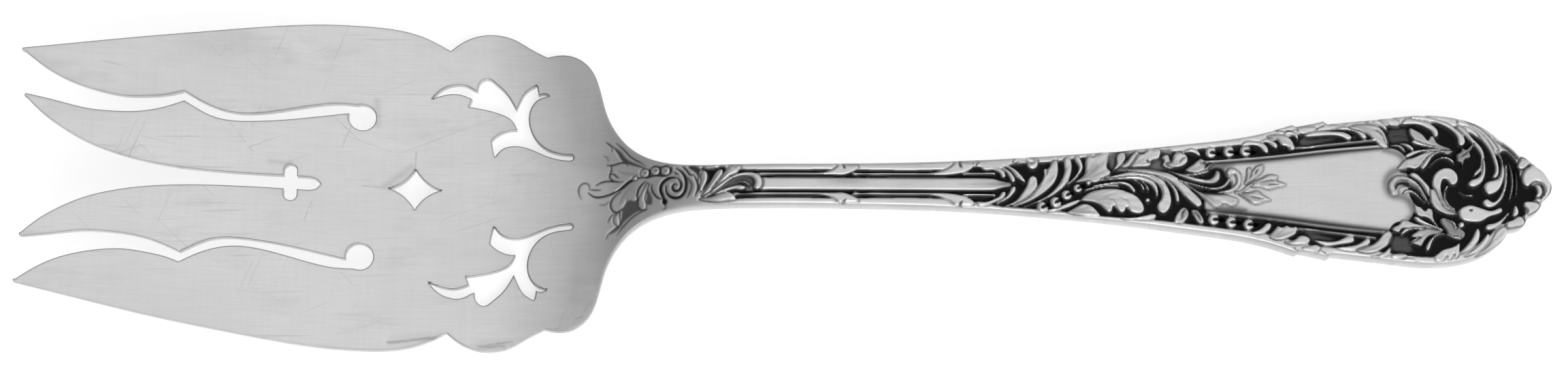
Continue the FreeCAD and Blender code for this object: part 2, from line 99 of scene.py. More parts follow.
# Plan: the runs of one side, from the end of the middle slot to the last leaf of the edge
SIDE_RUNS = (
    ((-70.3, 0.0), (-71.0, 0.75), (-72.3, 1.0), (-73.7, 1.0)),
    ((-73.7, 1.0), (-73.7, 1.8)),
    ((-73.7, 1.8), (-74.65, 2.75), (-75.6, 1.8)),
    ((-75.6, 1.8), (-75.6, 1.0)),
    ((-75.6, 1.0), (-84.0, 1.05), (-92.0, 1.5), (-96.0, 2.05), (-100.0, 2.95), (-104.0, 4.35),
     (-107.0, 5.95), (-110.0, 8.05), (-112.1, 10.05)),
    ((-112.1, 10.05), (-112.4, 10.4), (-112.1, 10.65)),
    ((-112.1, 10.65), (-108.0, 9.95), (-104.0, 9.2), (-100.0, 9.05), (-96.0, 9.4), (-93.0, 10.2),
     (-90.1, 11.4)),
    ((-90.1, 11.4), (-88.0, 10.2), (-86.0, 9.3), (-83.5, 8.85), (-80.0, 8.95), (-76.0, 9.4),
     (-71.0, 10.25), (-66.44, 11.1)),
    ((-66.44, 11.1), (-62.93, 9.36), (-65.2, 12.48)),
    ((-65.2, 12.48), (-68.0, 12.5), (-71.0, 12.05), (-74.0, 11.35), (-77.0, 10.65), (-80.0, 10.15),
     (-82.0, 10.05), (-85.0, 10.5), (-87.0, 11.2), (-90.2, 12.9)),
    ((-90.2, 12.9), (-92.0, 12.3), (-95.0, 11.75), (-98.0, 11.5), (-102.0, 11.95), (-105.0, 12.7),
     (-108.0, 13.9), (-110.5, 15.4), (-112.6, 17.0)),
    ((-112.6, 17.0), (-113.0, 17.3), (-112.7, 17.5)),
    ((-112.7, 17.5), (-105.0, 19.0), (-95.0, 20.9), (-85.0, 22.55), (-75.0, 24.0), (-69.0, 24.55),
     (-64.5, 24.65), (-60.0, 24.45), (-56.0, 23.6), (-51.7, 21.55)),
    ((-51.7, 21.55), (-50.0, 22.9), (-48.0, 23.85), (-45.0, 24.2), (-42.0, 23.45), (-39.7, 22.1),
     (-37.2, 20.8)),
    ((-37.2, 20.8), (-34.7, 21.15), (-32.4, 20.5), (-30.6, 18.9), (-29.3, 16.0), (-28.2, 12.0),
     (-26.6, 8.8), (-24.0, 6.0), (-20.5, 4.2), (-16.0, 3.3), (-10.0, 3.1)),
    ((-10.0, 3.1), (2.0, 3.13), (14.0, 3.28), (27.0, 3.75), (38.0, 4.5), (50.0, 5.6), (60.0, 6.8),
     (66.0, 7.6), (70.0, 8.45), (74.3, 9.8)),
    ((74.3, 9.8), (74.9, 9.5)),
    ((74.9, 9.5), (77.0, 9.9), (79.0, 10.4)),
    ((79.0, 10.4), (79.7, 9.95)),
    ((79.7, 9.95), (84.0, 10.4), (88.0, 10.85), (92.0, 11.3), (95.0, 11.4), (98.0, 11.15),
     (100.5, 10.6), (102.7, 9.7), (104.9, 8.1)),
)
CREST_RUNS = (
    ((104.9, 8.1), (106.6, 6.9), (108.2, 5.3)),
    ((108.2, 5.3), (109.3, 4.9), (110.2, 4.05)),
    ((110.2, 4.05), (111.5, 3.15), (112.5, 1.9), (113.0, 0.7), (112.7, -0.5), (111.5, -1.55)),
    ((111.5, -1.55), (111.2, -2.5), (110.3, -3.5), (109.2, -4.0)),
    ((109.2, -4.0), (108.7, -5.2), (107.6, -5.9), (106.3, -6.1)),
    ((106.3, -6.1), (105.7, -7.2), (104.9, -8.1)),
)
DIAMOND_RUNS = (
    ((-60.5, 0.0), (-58.2, 1.15), (-56.6, 3.1)),
    ((-56.6, 3.1), (-55.0, 1.15), (-52.7, 0.0)),
    ((-52.7, 0.0), (-55.0, -1.15), (-56.6, -3.1)),
    ((-56.6, -3.1), (-58.2, -1.15), (-60.5, 0.0)),
)
LEAF_RUNS = (
    ((-54.4, 14.0), (-53.2, 15.35), (-51.2, 16.3), (-49.5, 16.3), (-48.3, 15.7)),
    ((-48.3, 15.7), (-47.6, 15.4)),
    ((-47.6, 15.4), (-47.3, 16.7), (-46.3, 17.4), (-45.0, 16.7), (-43.5, 15.3), (-41.8, 12.6)),
    ((-41.8, 12.6), (-41.2, 14.0), (-40.3, 15.5), (-38.8, 16.5)),
    ((-38.8, 16.5), (-38.6, 15.7), (-38.5, 15.0)),
    ((-38.5, 15.0), (-37.7, 15.2), (-36.9, 14.8)),
    ((-36.9, 14.8), (-38.6, 14.2), (-39.6, 12.9), (-39.9, 10.9), (-39.2, 8.6), (-37.7, 6.9),
     (-35.6, 6.0), (-33.6, 5.75)),
    ((-33.6, 5.75), (-33.15, 5.3), (-33.6, 4.85)),
    ((-33.6, 4.85), (-34.4, 4.9), (-37.5, 5.7), (-40.3, 6.85), (-42.3, 7.05), (-43.9, 6.5),
     (-44.9, 5.3)),
    ((-44.9, 5.3), (-45.2, 6.6), (-45.4, 7.9)),
    ((-45.4, 7.9), (-44.1, 9.0), (-41.6, 9.6)),
    ((-41.6, 9.6), (-42.3, 10.9), (-44.2, 12.0), (-46.4, 12.6), (-48.9, 13.0)),
    ((-48.9, 13.0), (-48.4, 14.2)),
    ((-48.4, 14.2), (-50.3, 14.85), (-52.4, 14.7), (-54.4, 14.0)),
)

# The sunk ground of the carving on one side, and the bare panel that stands in it
GROUND_SIDE = (
    (-10.2, 2.55), (-9.0, 2.25), (-7.0, 2.08), (8.0, 2.08), (22.0, 2.12), (26.0, 2.5), (29.0, 3.0),
    (36.0, 3.6), (46.0, 4.55), (54.0, 5.05), (60.0, 5.7), (66.0, 6.4), (70.0, 6.9), (74.0, 7.9),
    (80.0, 8.9), (88.0, 9.6), (94.0, 10.2), (98.0, 9.8), (102.0, 8.0), (105.0, 5.2),
)
GROUND_END = (
    (105.0, 5.2), (106.0, 5.9), (107.2, 5.0), (108.1, 3.4), (108.4, 1.6), (109.6, 0.9),
    (110.6, 0.4), (110.6, -0.8), (110.0, -1.7), (108.7, -2.2), (108.9, -3.3), (108.0, -4.2),
    (106.4, -4.9), (105.0, -5.2),
)
GROUND_START = ((-10.2, -2.55), (-9.6, 0.0), (-10.2, 2.55))
PANEL_SIDE = ((60.8, 3.8), (74.0, 5.25), (88.3, 6.5))
PANEL_END = ((88.3, 6.5), (90.4, 5.9), (91.3, 4.8), (91.4, 3.0), (91.6, 1.0), (91.7, -0.8),
             (92.3, -2.2), (92.2, -3.6), (91.5, -4.7), (89.6, -5.1), (88.3, -6.5))
PANEL_START_X = 55.0
PANEL_END_X = 95.0

# Carving depths under the upper face, and how high its lobes stand over the ground
GROUND_DEPTH = 0.8
RELIEF = 0.95
PANEL_STEP = 0.12

# A line of painted shade along the upper face's rounded edge, and the plain under side
EDGE_PAINTED_SHADE = 0.36
EDGE_PAINTED_SHADE_WIDTH = 0.34
UNDER_SPACING = 2.5
UNDER_TONE = 0.12

# The table and the camera, in metres and degrees. The table glows a little, less towards its back.
TABLE_HALF = 3.0
TABLE_GAP = 0.0001
TABLE_GLOW_DEPTHS = (0.06, 0.25)
TABLE_GLOW = (0.5, 0.0)
CAMERA_TARGET = (-0.0016, 0.000608, 0.0)
CAMERA_ELEVATION = 77.0
CAMERA_DISTANCE = 0.640

# Marks of use on the plate: both ends, width and strength
MARKS = (
    ((-64.2, 0.1), (-61.0, 0.0), 0.2, 0.35),
    ((-56.5, 5.8), (-56.6, 3.4), 0.2, 0.35),
    ((-83.4, 8.4), (-80.1, 4.2), 0.12, 0.3),
    ((-71.5, -2.8), (-72.5, -5.6), 0.14, 0.35),
    ((-60.0, -23.4), (-52.4, -22.3), 0.45, 0.6),
    ((-57.5, -23.2), (-54.0, -22.3), 0.3, 0.6),
    ((-46.8, -23.7), (-43.0, -23.5), 0.5, 0.75),
    ((-45.5, -23.3), (-41.8, -22.8), 0.3, 0.6),
    ((-35.6, -20.6), (-32.6, -20.0), 0.5, 0.75),
    ((-33.6, -20.1), (-31.6, -18.9), 0.35, 0.6),
    ((-31.5, -18.6), (-30.3, -16.6), 0.3, 0.45),
    ((-86.6, 20.2), (-85.0, 18.4), 0.12, 0.35),
    ((-85.0, 18.4), (-84.3, 20.8), 0.12, 0.35),
    ((-84.3, 20.8), (-83.2, 18.7), 0.12, 0.3),
    ((-67.1, -13.2), (-65.0, -15.2), 0.12, 0.35),
    ((-102.0, 16.5), (-98.5, 15.8), 0.2, 0.25),
    ((-96.0, 5.6), (-91.0, 4.6), 0.1, 0.25),
    ((-52.5, -4.5), (-44.0, -1.2), 0.12, 0.25),
    ((-50.5, -6.2), (-41.0, -3.0), 0.1, 0.22),
    ((-68.0, 8.0), (-60.0, 5.5), 0.1, 0.22),
)

# Soft darker tones, in the same way: the three wide ones are painted shade over the plate's
# shoulders beside the neck; the others darken smaller patches of the plate
SOFT_TONES_AND_PAINTED_SHADE = (
    ((-35.0, 22.0), (-32.0, 8.0), 12.0, 0.42),
    ((-34.0, -20.0), (-32.0, -9.0), 11.0, 0.3),
    ((-34.0, 12.0), (-34.0, -12.0), 12.0, 0.22),
    ((-60.9, 0.3), (-57.2, 3.3), 0.9, 0.25),
    ((-62.4, 13.2), (-62.3, 9.6), 0.9, 0.22),
    ((-77.6, 2.9), (-74.6, 2.9), 0.7, 0.2),
    ((-59.0, -22.9), (-53.0, -22.4), 1.2, 0.12),
    ((-47.0, -23.5), (-42.0, -22.9), 1.3, 0.16),
    ((-36.0, -20.3), (-31.0, -18.0), 1.5, 0.2),
    ((-89.0, 20.5), (-78.0, 19.0), 4.0, 0.1),
)

# A stroke of the carving: its form, greatest width, centre line from root to tip, height as a
# share of the relief, hollow (0 to 1) and shade (0 bright to 1 dark). A blade or bed has a closed
# outline in place of the centre line, and a blade may have a root that it darkens towards.
Stroke = namedtuple("Stroke", "form width points lift hollow shade root")

# Shares of a stroke's length with its width there as a share of the greatest
WIDTH_FORMS = {
    "leaf": ((0.0, 0.4), (0.35, 0.82), (0.68, 1.0), (0.9, 0.85), (1.0, 0.5)),
    "bulb": ((0.0, 0.4), (0.45, 0.5), (0.75, 0.82), (0.92, 1.0), (1.0, 0.8)),
    "reed": ((0.0, 1.0), (1.0, 1.0)),
    "cut": ((0.0, 0.5), (0.25, 1.0), (0.75, 1.0), (1.0, 0.3)),
    "painted_shade": ((0.0, 0.6), (0.3, 1.0), (0.7, 1.0), (1.0, 0.6)),
}


def stroke_maker(form):
    """A maker of raised forms of one kind, from their width and centre line."""
    def make(width, *points, lift=1.0, hollow=0.0, shade=0.0):
        return Stroke(form, width, points, lift, hollow, shade, None)
    return make


leaf = stroke_maker("leaf")
bulb = stroke_maker("bulb")
reed = stroke_maker("reed")


def blade(*outline, lift=1.0, hollow=0.35, shade=0.0, root=None):
    """A leaf drawn by its outline."""
    return Stroke("blade", 0.0, outline, lift, hollow, shade, root)


def bed(*outline, lift=0.55, shade=0.3, edge=0.25):
    """A level area under the leaves, with a soft edge of that width."""
    return Stroke("bed", edge, outline, lift, 0.0, shade, None)


def pit(*outline, lift=0.0, shade=1.0, edge=0.2):
    """An area sunk to the ground."""
    return bed(*outline, lift=lift, shade=shade, edge=edge)


def cut(width, *points, lift=0.25, shade=0.85):
    """A groove; its lift is the depth cut and its shade how dark it is."""
    return Stroke("cut", width, points, lift, 0.0, shade, None)


def vein(width, *points, shade=0.5):
    """A shallow line on a leaf."""
    return cut(width, *points, lift=0.1, shade=shade)


def painted_shade(width, *points, shade=0.4):
    """A soft band of painted shade with no depth."""
    return Stroke("painted_shade", width, points, 0.0, 0.0, shade, None)


def dot(radius, x, y, lift=1.0):
    """A small round knob."""
    return reed(2 * radius, (x - 0.02, y), (x + 0.02, y), lift=lift)


def husk(radius, x, y, mouth):
    """A bud with an open mouth towards the angle, in degrees."""
    ahead = (radius * math.cos(math.radians(mouth)), radius * math.sin(math.radians(mouth)))

    def at(along, off):
        return x + along * ahead[0] - off * ahead[1], y + along * ahead[1] + off * ahead[0]

    return (dot(radius, x, y),
            cut(0.7 * radius, at(-0.1, 0.0), at(1.7, 0.0), lift=0.6, shade=1.0))


def both_sides(strokes):
    """The strokes, and the same on the other side of the middle line."""
    flipped = [s._replace(points=tuple((x, -y) for x, y in s.points)) for s in strokes]
    return list(strokes) + flipped


NECK = (
    # thin lines on the plate round the last leaves
    cut(0.41, (-30.7, 0.3), (-30.8, 1.0), (-31.3, 1.3), (-31.9, 1.1), (-32.3, 0.4), (-32.2, -0.5),
        (-31.9, -1.2), lift=0.12, shade=0.65),
    cut(0.34, (-28.3, 7.5), (-27.5, 6.9), (-26.9, 6.4), lift=0.2, shade=0.95),
    cut(0.26, (-27.4, 6.6), (-27.3, 5.9), lift=0.1, shade=0.75),
    cut(0.37, (-26.8, 7.3), (-25.5, 6.1), (-24.5, 5.0), (-23.0, 4.0), (-22.2, 3.4), lift=0.2),
    cut(0.3, (-28.6, 5.4), (-28.0, 5.0), (-28.0, 4.4), lift=0.1, shade=0.55),
    cut(0.41, (-28.2, 4.0), (-27.6, 3.9), (-26.5, 4.1), (-25.3, 4.1), (-24.9, 3.6)),
    cut(0.37, (-27.5, 4.0), (-27.4, 3.3), (-27.6, 2.6), (-27.7, 2.1), (-27.2, 1.6), (-26.6, 1.4),
        lift=0.2, shade=0.85),
    cut(0.37, (-27.5, 2.6), (-26.9, 2.4), (-26.5, 2.0), (-26.2, 1.9), lift=0.2, shade=0.95),
    cut(0.41, (-29.8, 0.9), (-29.0, 1.3), (-28.0, 1.5), (-26.6, 1.35), (-25.6, 1.3)),
    cut(0.34, (-30.6, 0.3), (-29.8, 0.2), (-28.9, 0.2), lift=0.15, shade=0.85),
    cut(0.5, (-30.9, -0.2), (-29.9, -0.85), (-28.5, -0.8), (-27.0, -0.3), (-25.8, 0.4)),
    cut(0.77, (-26.6, -0.1), (-25.6, 0.5), (-24.8, 1.15), (-23.8, 1.6), (-22.9, 1.75), lift=0.4),
    cut(0.43, (-26.0, -0.2), (-27.1, -1.1), (-27.5, -2.0), (-27.3, -2.9), (-26.8, -3.3),
        (-25.9, -3.0), (-25.2, -2.2), (-25.0, -1.2)),
    cut(0.26, (-29.3, -2.1), (-28.2, -2.0), (-27.6, -1.5), lift=0.1, shade=0.65),
    cut(0.34, (-27.9, -4.8), (-27.4, -3.9), (-26.8, -3.4), lift=0.15, shade=0.75),
    cut(0.34, (-28.1, -7.4), (-27.8, -6.5), lift=0.1, shade=0.55),
    cut(0.34, (-21.9, -3.2), (-23.3, -3.7), (-24.5, -4.5), (-25.5, -5.5), (-26.6, -6.9), lift=0.2),
    # sunk patches between the leaves
    pit((-27.2, 6.7), (-26.2, 6.1), (-25.4, 5.1), (-24.6, 4.4), (-23.2, 3.7), (-21.9, 2.9),
        (-23.4, 3.4), (-24.6, 3.8), (-25.3, 4.1), (-26.0, 4.7), (-26.5, 5.6), lift=0.45,
        shade=0.7, edge=0.1),
    pit((-25.4, -2.2), (-24.6, -1.5), (-23.9, -1.7), (-23.4, -1.2), (-23.1, -2.3), (-22.8, -3.1),
        (-21.8, -3.1), (-22.5, -3.3), (-23.4, -3.4), (-24.6, -4.1), (-25.6, -5.0),
        (-26.3, -5.9), (-27.9, -6.6), (-26.7, -5.5), (-26.0, -4.6), (-25.8, -3.3), lift=0.4,
        shade=0.66, edge=0.1),
    pit((-22.1, 0.2), (-22.1, -1.2), (-22.0, -2.4), (-21.4, -2.5), (-21.2, -1.8), (-21.6, -0.6),
        lift=0.5, shade=0.66, edge=0.12),
    cut(0.3, (-21.7, 3.05), (-20.8, 3.35), (-20.0, 3.15), (-19.2, 3.3), (-18.4, 3.0)),
    cut(0.5, (-22.9, 1.75), (-21.9, 1.7), (-20.9, 1.9), (-20.0, 1.8), (-19.2, 1.75),
        (-18.5, 1.95)),
    cut(0.67, (-21.65, 2.9), (-21.6, 1.8)), cut(0.63, (-20.05, 3.1), (-20.05, 1.8)),
    cut(0.59, (-18.4, 3.0), (-18.45, 2.0)),
    vein(0.67, (-15.9, 1.2), (-15.4, 0.3), (-15.5, -0.8), (-16.1, -1.9), shade=0.65),
    vein(0.59, (-13.4, 2.9), (-13.7, 2.5), (-14.6, 2.2), shade=0.65),
    # painted shade over the neck, where it turns up from the plate
    painted_shade(5.5, (-26.5, 0.0), (-20.0, 0.0), (-12.5, 0.0), shade=0.14),
    leaf(0.9, (-26.3, -3.5), (-26.6, -4.3), (-26.4, -5.1)),
    cut(0.5, (-22.2, 1.2), (-23.1, 0.3), (-23.5, -0.8), (-23.4, -1.8)),
    vein(0.7, (-24.2, 0.9), (-25.4, -0.5), (-26.2, -2.0), shade=0.25),
    vein(0.5, (-23.4, 2.3), (-25.2, 2.5), (-26.6, 3.0), shade=0.25),
    bulb(1.1, (-22.0, 0.6), (-22.6, -0.8), (-22.8, -2.0), (-22.6, -2.7)),
    cut(0.5, (-21.3, 0.6), (-21.3, -0.2), (-20.9, -1.0), (-20.3, -1.6), (-19.6, -1.75)),
    cut(0.37, (-19.6, -2.4), (-19.2, -3.0), (-19.7, -3.5), lift=0.15, shade=0.65),
    # the spiral
    cut(0.85, (-19.2, -2.3), (-19.6, -1.4), (-19.95, -0.5), (-19.85, 0.4), (-19.2, 1.1),
        (-18.3, 1.4), (-17.5, 1.3), lift=0.4),
    pit((-19.4, -1.7), (-18.9, -2.3), (-19.3, -2.7), (-19.8, -2.1), lift=0.4, shade=0.95, edge=0.1),
    cut(0.8, (-19.2, 0.2), (-19.05, -0.9), (-18.3, -1.6), (-17.3, -1.7), (-16.5, -1.1),
        (-16.15, 0.0), (-16.3, 1.3), (-16.9, 2.2), (-17.8, 2.8), lift=0.4),
    cut(0.7, (-17.4, 1.2), (-16.95, 0.5), (-17.0, -0.3), (-17.7, -0.7), (-18.2, -0.2),
        (-17.95, 0.4), (-17.5, 0.2), lift=0.35),
    vein(0.42, (-18.0, 2.2), (-17.3, 1.7), shade=0.85),
    # the leaves between the spiral and the stem
    cut(0.5, (-16.8, 3.0), (-16.0, 2.2), (-15.5, 1.6), (-15.0, 1.7), lift=0.3),
    pit((-15.9, 2.9), (-14.6, 2.9), (-14.1, 1.8), (-14.3, 0.6), (-14.6, 1.6), (-15.2, 2.2),
        lift=0.5, shade=0.75, edge=0.15),
    cut(0.5, (-15.0, 1.5), (-14.5, 0.5), (-14.4, -0.5), (-14.9, -1.6), lift=0.3, shade=0.85),
    pit((-14.1, 2.7), (-12.5, 2.4), (-10.3, 2.4), (-10.3, 1.9), (-11.6, 1.5), (-12.7, 0.4),
        (-14.2, -1.2), (-13.4, 0.2), (-13.1, 1.4), (-13.4, 2.2), lift=0.1, shade=1.0, edge=0.1),
    blade((-14.1, -0.9), (-13.2, 0.2), (-12.9, 1.2), (-13.1, 2.0), (-13.5, 2.25), (-13.9, 1.8),
          (-13.9, 0.8), (-14.1, -0.1), hollow=0.1),
    blade((-13.9, -1.7), (-12.9, -0.1), (-12.1, 1.3), (-11.2, 2.3), (-10.7, 2.3), (-10.7, 1.6),
          (-11.3, 0.5), (-12.3, -0.7), hollow=0.1, root=(-13.9, -1.8)),
    blade((-12.2, -0.6), (-10.9, 1.2), (-10.2, 2.3), (-9.6, 2.8), (-8.9, 2.7), (-8.1, 2.8),
          (-8.2, 2.0), (-8.9, 1.5), (-9.9, 1.0), (-10.9, 0.2), hollow=0.15, root=(-11.8, -0.3)),
    bed((-13.2, -1.9), (-11.3, -0.7), (-9.8, 0.5), (-8.2, 1.2), (-6.6, 1.2), (-5.9, 0.4),
        (-6.0, -0.9), (-7.2, -1.0), (-9.0, -1.1), (-11.0, -1.4), (-12.4, -1.9), lift=0.3,
        shade=0.75, edge=0.12),
    blade((-12.5, -1.2), (-11.0, 0.2), (-9.4, 1.2), (-8.0, 1.75), (-6.5, 1.8), (-5.2, 1.3),
          (-4.75, 0.3), (-5.0, -0.6), (-5.6, -0.95), (-6.1, -0.7), (-6.0, 0.2), (-6.3, 0.9),
          (-7.2, 1.2), (-8.4, 1.1), (-9.9, 0.4), (-11.3, -0.6), hollow=0.0),
    blade((-12.0, -1.45), (-10.5, -0.65), (-9.0, -0.2), (-7.9, -0.15), (-7.2, -0.55),
          (-7.6, -0.9), (-8.6, -0.85), (-10.2, -1.1), hollow=0.0),
    leaf(0.35, (-8.6, 0.35), (-7.3, 0.25), (-6.5, -0.35)),
    blade((-14.2, -2.1), (-12.8, -1.9), (-11.2, -1.4), (-9.9, -1.15), (-9.0, -1.6), (-8.7, -2.2),
          (-9.8, -2.5), (-12.0, -2.6), hollow=0.0),
    dot(0.33, -23.85, 1.7),
    dot(0.62, -22.4, 2.4), cut(0.3, (-22.6, 2.4), (-22.1, 2.45), lift=0.3),
    dot(0.6, -20.8, 2.6), cut(0.3, (-21.0, 2.65), (-20.4, 2.65), lift=0.3),
    dot(0.62, -19.25, 2.5), cut(0.3, (-19.5, 2.5), (-19.0, 2.5), lift=0.3),
)

STEM = both_sides((
    # thin rods that swell into buds, the far ones first
    reed(0.46, (25.0, 1.6), (27.5, 1.62), (29.6, 1.65), lift=0.95),
    blade((8.4, 1.56), (8.6, 1.7), (9.4, 1.74), (12.0, 1.74), (15.0, 1.74), (18.0, 1.74),
          (20.2, 1.77), (21.4, 1.98), (22.4, 2.35), (23.2, 2.85), (23.8, 3.35), (24.5, 3.4),
          (25.2, 3.3), (26.2, 3.25), (26.6, 2.9), (26.4, 2.4), (25.8, 2.0), (24.9, 1.65),
          (23.6, 1.4), (22.3, 1.27), (20.0, 1.27), (17.0, 1.27), (14.0, 1.27), (11.0, 1.27),
          (9.4, 1.27), (8.6, 1.29), hollow=0.15),
    cut(0.4, (24.4, 3.5), (24.5, 2.9), (24.7, 2.5)),
    blade((-9.4, 1.56), (-9.2, 1.7), (-8.5, 1.74), (-6.0, 1.74), (-3.0, 1.74), (0.0, 1.74),
          (2.6, 1.74), (4.3, 1.82), (5.4, 2.14), (6.1, 2.65), (6.6, 3.0), (7.2, 3.0), (7.8, 2.9),
          (8.7, 2.9), (9.35, 2.75), (9.4, 2.35), (8.9, 1.9), (8.2, 1.55), (7.3, 1.27),
          (6.2, 1.25), (5.0, 1.28), (3.0, 1.27), (0.0, 1.27), (-3.0, 1.27), (-6.0, 1.27),
          (-8.5, 1.27), (-9.2, 1.29), hollow=0.15),
    cut(0.35, (7.1, 3.1), (7.25, 2.6), (7.4, 2.3)),
))

MIDDLE_ROD_SIDE = (
    (-5.2, 0.9), (-4.4, 1.02), *((2.5 * k, 1.02) for k in range(-1, 8)), (20.0, 1.03),
    (22.5, 1.04), (25.0, 1.05), (27.0, 1.05), (28.6, 1.02), (29.8, 0.9), (31.0, 0.55), (32.2, 0.05),
)
STEM_END = (
    blade((-5.3, 0.0), *MIDDLE_ROD_SIDE, *((x, -y) for x, y in reversed(MIDDLE_ROD_SIDE)),
          lift=0.97, hollow=0.0),
    # painted shade along both sides of the middle rod, in a patch under the first buds and towards
    # its pointed end
    painted_shade(0.9, (-4.0, 0.95), (8.0, 0.95), (20.0, 0.95), (30.0, 0.9), shade=0.5),
    painted_shade(0.7, (-4.0, -0.98), (8.0, -0.98), (20.0, -0.98), (30.0, -0.9), shade=0.4),
    painted_shade(2.0, (3.5, 0.3), (8.0, 0.3), (12.0, 0.3), shade=0.1),
    painted_shade(1.9, (5.0, 0.3), (8.0, 0.3), (10.5, 0.3), shade=0.19),
    painted_shade(1.8, (6.3, 0.35), (8.0, 0.35), (9.3, 0.35), shade=0.28),
    painted_shade(2.0, (24.5, 0.0), (28.5, 0.0), (32.2, 0.0), shade=0.15),
    painted_shade(2.0, (26.5, 0.0), (29.5, 0.0), (32.2, 0.0), shade=0.28),
    painted_shade(2.0, (28.8, 0.0), (30.5, 0.0), (32.2, 0.0), shade=0.42),
    painted_shade(1.6, (30.2, 0.0), (31.2, 0.0), (32.2, 0.0), shade=0.6),
    blade((26.8, 2.75), (28.0, 2.6), (29.4, 2.2), (30.3, 1.65), (30.8, 1.0), (31.2, 1.0),
          (31.3, 1.7), (30.6, 2.5), (29.2, 3.05), (27.0, 3.15), hollow=0.1),
    bulb(0.95, (30.2, 2.85), (31.7, 1.9), (32.4, 0.65)),
    blade((26.0, 3.3), (28.0, 3.6), (30.0, 3.45), (32.0, 2.8), (33.6, 1.6), (34.3, 0.3),
          (33.2, 0.8), (32.2, 2.0), (30.4, 3.05), (28.0, 3.3), hollow=0.1),
    blade((26.8, -2.75), (28.0, -2.6), (29.4, -2.2), (30.3, -1.65), (30.9, -1.0), (31.3, -1.1),
          (31.2, -1.8), (30.4, -2.5), (29.0, -3.0), (27.0, -3.1), hollow=0.1),
    bulb(0.95, (30.0, -2.8), (31.6, -1.9), (32.5, -0.55)),
)

